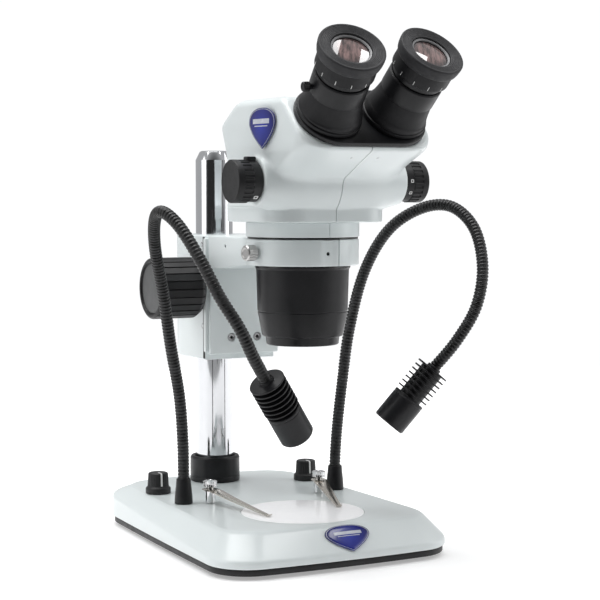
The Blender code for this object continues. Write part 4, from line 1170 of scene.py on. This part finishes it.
def make_zoom():
    drum = [(0, 67.0), (2.6, 67.0), (3.1, 66.5), (3.1, 18.0), (11.4, 18.0), (12.0, 17.4)]
    for x in (11.0, 5.0, -5.0, -11.0):
        drum += [(12.0, x + 1.0), (10.8, x + 0.9), (10.8, x - 0.9), (12.0, x - 1.0)]
    drum += [(12.0, -17.4), (11.4, -18.0), (3.1, -18.0), (3.1, -66.5), (2.6, -67.0), (0, -67.0)]
    lathe("zoom_cam_shaft", drum, "steel", "zoom_control", facing((0, ZOOM_Y, ZOOM_Z), X), 48,
          0.1, replaces="zoom_shaft")

    def knurl(angles, r, h):
        """Square notches between ribs, open towards the collar."""
        wide = r > 15.5 and h < 76.4
        notch = np.clip(3.0 * np.cos(angles * 24), -1, 1)
        return np.full(len(angles), r) - (0.40 * (1 + notch) if wide else 0)

    for side, label in SIDES:
        spot = facing((0, ZOOM_Y, ZOOM_Z), X * side)
        lathe(f"zoom_wheel_{label}", [
            (0, ZOOM_FACE - 0.15), (14.4, ZOOM_FACE - 0.15), (14.7, ZOOM_FACE),
            (15.5, ZOOM_FACE), (16.1, ZOOM_FACE - 0.7), (16.1, 76.5), (16.1, 76.3), (16.1, 69.6),
            (15.8, 69.0), (15.3, 68.6), (15.3, 62.0), (14.9, 61.5), (3.5, 61.5), (3.5, 67.5),
            (0, 67.5)], "plastic", "zoom_control", spot, 288, 0.2, knurl,
            replaces=f"zoom_knob_{label}")
        # a stop lug on the smooth collar, and pale marks on it
        inner, outer = sorted((side * 62.0, side * 69.4))
        brick(f"zoom_lug_{label}", (inner, ZOOM_Y - 3.8, ZOOM_Z + 14.0),
              (outer, ZOOM_Y + 3.4, ZOOM_Z + 18.4), "plastic", "zoom_control", edge=0.9)
        for k, (degrees, across, size) in enumerate(ZOOM_MARKS[label]):
            angle = math.radians(degrees)
            out = Vector((0, math.cos(angle), math.sin(angle)))
            spin = axes(Vector((side * across, ZOOM_Y, ZOOM_Z)) + out * 15.3, X, out.cross(X))
            outer = np.array(rounded(size, -size, size, size * 0.35, 4, 2))
            slab(f"zoom_mark_{label}_{k + 1}", outer, -0.7, 0.12, "mark", "zoom_control", spin,
                 0.04, hole=outer * 0.5)


# ------------------------------------------------------------------ eye tubes

def eye_frame(side):
    direction = (NORMAL * math.cos(EYE_SPREAD)
                 + X * (math.sin(EYE_SPREAD) * side)).normalized()
    return Vector((side * 29.9, -113.1, 361.8)), direction


def ring_at(centre, axis, radius, height, count):
    across = (X - axis * axis.x).normalized()
    other = axis.cross(across)
    return [tuple(centre + axis * height + (across * math.cos(a) + other * math.sin(a)) * radius)
            for a in np.arange(count) / count * TAU]


def make_eye(side, label):
    seam, out = eye_frame(side)
    body = f"eye_{label}"
    height = (EYE_PLANE + 4.6 * math.sqrt(2) - (seam.z - seam.y)) / (out.z - out.y)
    foot = seam + out * height
    low = soften([(14.6, 0.0), (24.6, 0.0), (25.0, 0.4), (25.0, 2.7), (24.7, 3.1), (24.1, 3.3),
                  (24.0, 3.8), (24.0, 5.4)], 0.3, False)
    high = soften([(23.9, -23.6), (23.2, -22.2), (22.4, -19.6), (21.6, -15.6), (21.0, -11.4),
                   (20.55, -8.2), (20.4, -7.5), (20.8, -7.2), (20.8, -4.6), (20.72, -4.4),
                   (20.8, -4.2), (20.8, 7.6), (20.3, 8.4), (15.4, 8.4), (15.4, -24.0)], 0.25,
                  False)
    rings = [ring_at(foot, NORMAL, r, h, 88) for r, h in low]
    rings += [ring_at(seam, out, r, h, 88) for r, h in high]
    skirt = skin(f"tube_skirt_{label}", rings, "skirt", None, loop=True)
    way = -X if side < 0 else UPSLOPE
    screw_out = (way - out * way.dot(out)).normalized()
    spot = facing(seam + out * -2.0, screw_out)
    cut = drill(2.2, 30, 12, spot, 24)
    own(carve(skirt, [cut]), body, f"eye_tube_{label}")

    across = (X - out * out.x).normalized()
    eye = axes(seam, across, out.cross(across))
    lathe(f"tube_sleeve_{label}", [(20.5, -6.9), (20.95, -6.6), (20.95, 7.3), (20.5, 7.6)],
          "satin", body, eye, 96, 0.1)
    knurl = grooved(0.3, 22, lambda r, h: r > 3.4 and 24.0 < h < 27.8)
    lathe(f"tube_clamp_screw_{label}", [
        (0, 28.1), (2.2, 28.1), (2.5, 28.5), (3.1, 28.4), (3.6, 27.8), (3.6, 24.0), (3.3, 23.5),
        (2.3, 22.9), (1.9, 20.0), (1.9, 16.0), (0, 16.0)], "satin", f"tube_clamp_{label}", spot,
        88, 0.15, knurl, replaces=f"tube_screw_{label}")
    lathe(f"eyepiece_barrel_{label}", [
        (13.6, 30.6), (15.2, 30.6), (15.2, 28.8), (20.0, 28.8), (20.0, 12.8), (19.6, 12.5),
        (19.6, 9.2), (19.2, 8.8), (15.0, 8.8), (15.0, -16.0), (11.0, -16.0), (11.0, 19.4),
        (13.6, 20.0)], "satin", body, eye, 96, 0.15, replaces=f"eyepiece_{label}")
    lathe(f"diopter_{label}", [
        (20.6, 28.7), (21.8, 28.7), (22.3, 28.2), (22.4, 27.6), (22.4, 14.4), (22.2, 13.6),
        (21.6, 13.1), (20.6, 13.1)], "skirt", f"diopter_{label}", eye, 112, 0.15,
        replaces=f"diopter_ring_{label}")
    ticks, faces = [], []
    for k in range(12):
        angle = math.radians(-100.0 + 30.0 * k)
        start = len(ticks)
        for r in (22.2, 22.46):
            for h in (14.3, 17.5):
                for w in (-0.0115, 0.0115):
                    ticks.append((r * math.cos(angle + w), r * math.sin(angle + w), h))
        faces += [[start + i for i in quad] for quad in (
            (0, 1, 3, 2), (4, 6, 7, 5), (0, 4, 5, 1), (2, 3, 7, 6), (0, 2, 6, 4), (1, 5, 7, 3))]
    put(f"diopter_scale_{label}", ticks, faces, "mark", f"diopter_{label}", eye)
    glass = [(0.0, 31.0)] + [(r, 31.0 - 0.8 * (r / 13.2) ** 2)
                             for r in np.linspace(1.3, 13.2, 12)]
    lathe(f"eye_glass_{label}", glass + [(13.2, 26.8), (0, 26.8)], "lens", body,
          eye @ Matrix.Rotation(math.radians(-20.4), 4, "Z"), 96, 0.0,
          replaces=f"eye_lens_{label}")
    lathe(f"eye_bezel_{label}", [(15.2, 31.5), (14.9, 31.8), (13.9, 31.3), (13.45, 30.6),
                                 (15.2, 30.6)], "bezel", body, eye, 96, 0.1)
    cup = [(15.45, 31.6), (15.5, 32.6), (16.1, 33.0)]
    for k, r in enumerate(np.arange(16.8, 23.4, 0.55)):
        cup.append((r, 33.1 + 0.11 * (r - 16.8) + (0.20 if k % 2 else -0.08)))
    cup += [(24.0, 34.1), (24.6, 33.7), (24.85, 33.0), (24.85, 31.4), (24.5, 28.2), (23.9, 25.8),
            (23.4, 24.9), (22.65, 24.9), (22.65, 29.1), (15.45, 29.1)]
    lathe(f"rubber_eyecup_{label}", cup, "rubber", body, eye, 112, 0.14,
          replaces=f"eyecup_{label}")


# ------------------------------------------------------------------ hidden pieces

def make_hidden():
    hexagon = hexagonal(lambda r, h: r > 8.0)
    lathe("pillar_lock_nut", [
        (6.3, 24.6), (9.0, 24.6), (11.0, 23.8), (11.0, 16.3), (9.0, 15.5), (6.3, 15.5)],
        "screw", "stand", facing((0, PILLAR_Y, 0)), 72, 0.15, hexagon, replaces="pillar_nut")
    brick("driver_board", (-28, 95, 12.2), (28, 129, 13.8), "board", "stand", edge=0.15,
          replaces="lamp_driver_board")
    for k, (low, high, look) in enumerate((
            ((-22, 100, 13.8), (-10, 108, 16.2), "plastic"),
            ((4, 100, 13.8), (12, 112, 17.5), "rim"),
            ((-6, 114, 13.8), (2, 124, 15.6), "plastic"),
            ((15, 116, 13.8), (25, 126, 18.0), "cap"),
            ((-25, 114, 13.8), (-18, 126, 19.0), "bright"))):
        brick(f"board_part_{k + 1}", low, high, look, "stand", edge=0.4)


# ------------------------------------------------------------------ studio and camera

def lamp(name, place, target, size, power):
    data = bpy.data.lights.new(name, "AREA")
    data.shape, data.size, data.size_y = "RECTANGLE", size[0], size[1]
    data.energy = power
    obj = bpy.data.objects.new(name, data)
    obj.location = place
    obj.rotation_euler = (Vector(target) - Vector(place)).to_track_quat("-Z", "Y").to_euler()
    bpy.context.scene.collection.objects.link(obj)


def make_world():
    """White to the camera. Surfaces see it dimmer, and darkest on the camera's own side."""
    world = bpy.data.worlds.new("studio")
    world.use_nodes = True
    tree = world.node_tree
    tree.nodes.clear()

    def node(kind, links=(), **settings):
        return add_node(tree, kind, links, **settings)

    way = node("ShaderNodeTexCoord").outputs["Generated"]
    towards = node("ShaderNodeVectorMath", {0: way, 1: DARK_WAY.normalized()},
                   operation="DOT_PRODUCT").outputs["Value"]
    shade = node("ShaderNodeMapRange", {0: towards, 1: 0.30, 2: 0.80, 3: 1.0, 4: 0.0},
                 interpolation_type="SMOOTHSTEP").outputs[0]
    height = node("ShaderNodeSeparateXYZ", {0: way}).outputs["Z"]
    below = node("ShaderNodeMapRange", {0: height, 1: -0.06, 2: -0.11, 3: 0.0,
                                        4: 0.8}).outputs[0]
    shade = node("ShaderNodeMath", {0: shade, 1: below}, operation="MAXIMUM").outputs[0]
    strength = node("ShaderNodeMapRange", {0: shade, 1: 0.0, 2: 1.0, 3: WORLD_DARK,
                                           4: WORLD_LIGHT}).outputs[0]
    seen = node("ShaderNodeLightPath").outputs["Is Camera Ray"]
    level = node("ShaderNodeMix", {0: seen, 2: strength, 3: 1.03}, data_type="FLOAT").outputs[0]
    light = node("ShaderNodeBackground", {"Color": (0.985, 0.99, 1.0, 1.0), "Strength": level})
    tree.links.new(light.outputs[0], node("ShaderNodeOutputWorld").inputs["Surface"])
    bpy.context.scene.world = world


DARK_WAY = Vector((-0.42, -0.90, 0.0))  # towards the middle of the world's dark zone
WORLD_DARK, WORLD_LIGHT = 0.03, 0.50
FLOOR_GLOW, FLOOR_FRONT = 0.34, 0.42


def make_stage():
    across, ahead = Vector((0.8856, -0.4645, 0.0)), Vector((-0.4645, -0.8856, 0.0))
    points = [across * u + ahead * v for u, v in ((-1.35, FLOOR_FRONT), (1.35, FLOOR_FRONT),
                                                  (1.35, -1.35), (-1.35, -1.35))]
    mesh = bpy.data.meshes.new("studio_floor")
    mesh.from_pydata([tuple(p) for p in points], [], [(0, 1, 2, 3)])
    s = Shader("pale_floor", 0.6, Emission_Color=(1.0, 1.0, 1.0, 1.0))
    depth = s.node("ShaderNodeVectorMath", {0: s.coords, 1: tuple(ahead)},
                   operation="DOT_PRODUCT").outputs["Value"]
    s.set("Base Color", s.mix(s.noise(3.0), (0.74, 0.74, 0.745), (0.78, 0.78, 0.78)))
    s.set("Emission Strength", s.fit(depth, -1.1, 0.1, 2.4 * FLOOR_GLOW, FLOOR_GLOW))
    s.bump((s.noise(420.0, 2.0), 0.04, 0.0002))
    mesh.materials.append(s.mat)
    floor = bpy.data.objects.new("studio_floor", mesh)
    bpy.context.scene.collection.objects.link(floor)
    lamp("left_box", (-1.5, 0.15, 0.8), (0, 0, 0.18), (1.0, 1.3), 5.6)
    lamp("right_box", (1.4, -0.55, 0.75), (0, 0, 0.2), (0.8, 1.3), 5.4)
    lamp("top_box", (-0.28, 0.15, 1.8), (0, 0, 0.1), (1.1, 1.5), 26.0)
    lamp("eye_glint", (0.60, -0.37, 1.52), (0.0, -0.14, 0.38), (0.62, 0.20), 2.6)


def make_camera():
    right, back = Vector((0.88559, -0.46446, 0.0)), Vector((-0.46347, -0.88369, 0.06545))
    back.normalize()
    right = (right - back * right.dot(back)).normalized()
    turn = Matrix((right, back.cross(right), back)).transposed().to_4x4()
    data = bpy.data.cameras.new("camera")
    data.lens, data.sensor_width = 99.95, 36.0
    data.clip_start, data.clip_end = 0.05, 20.0
    camera = bpy.data.objects.new("camera", data)
    camera.matrix_world = Matrix.Translation((-0.60769, -1.18632, 0.28559)) @ turn
    bpy.context.scene.collection.objects.link(camera)
    bpy.context.scene.camera = camera


def main():
    make_camera()
    make_world()
    make_stage()
    make_base()
    make_pillar()
    make_inlet()
    make_badge("base_shield", 19.0, 23.5, axes((4, -67.4, 23.2), X, (0, 0.72, 0.69)), "stand",
               "base_badge")
    make_block()
    make_focus_drive()
    make_carriage()
    make_ring_arm()
    make_head()
    make_zoom()
    for side, label in SIDES:
        make_clip(side, label)
        make_dimmer(side, label)
        make_neck(side, label)
        make_eye(side, label)
    make_hidden()


main()
bpy.context.scene.view_settings.view_transform = "Standard"
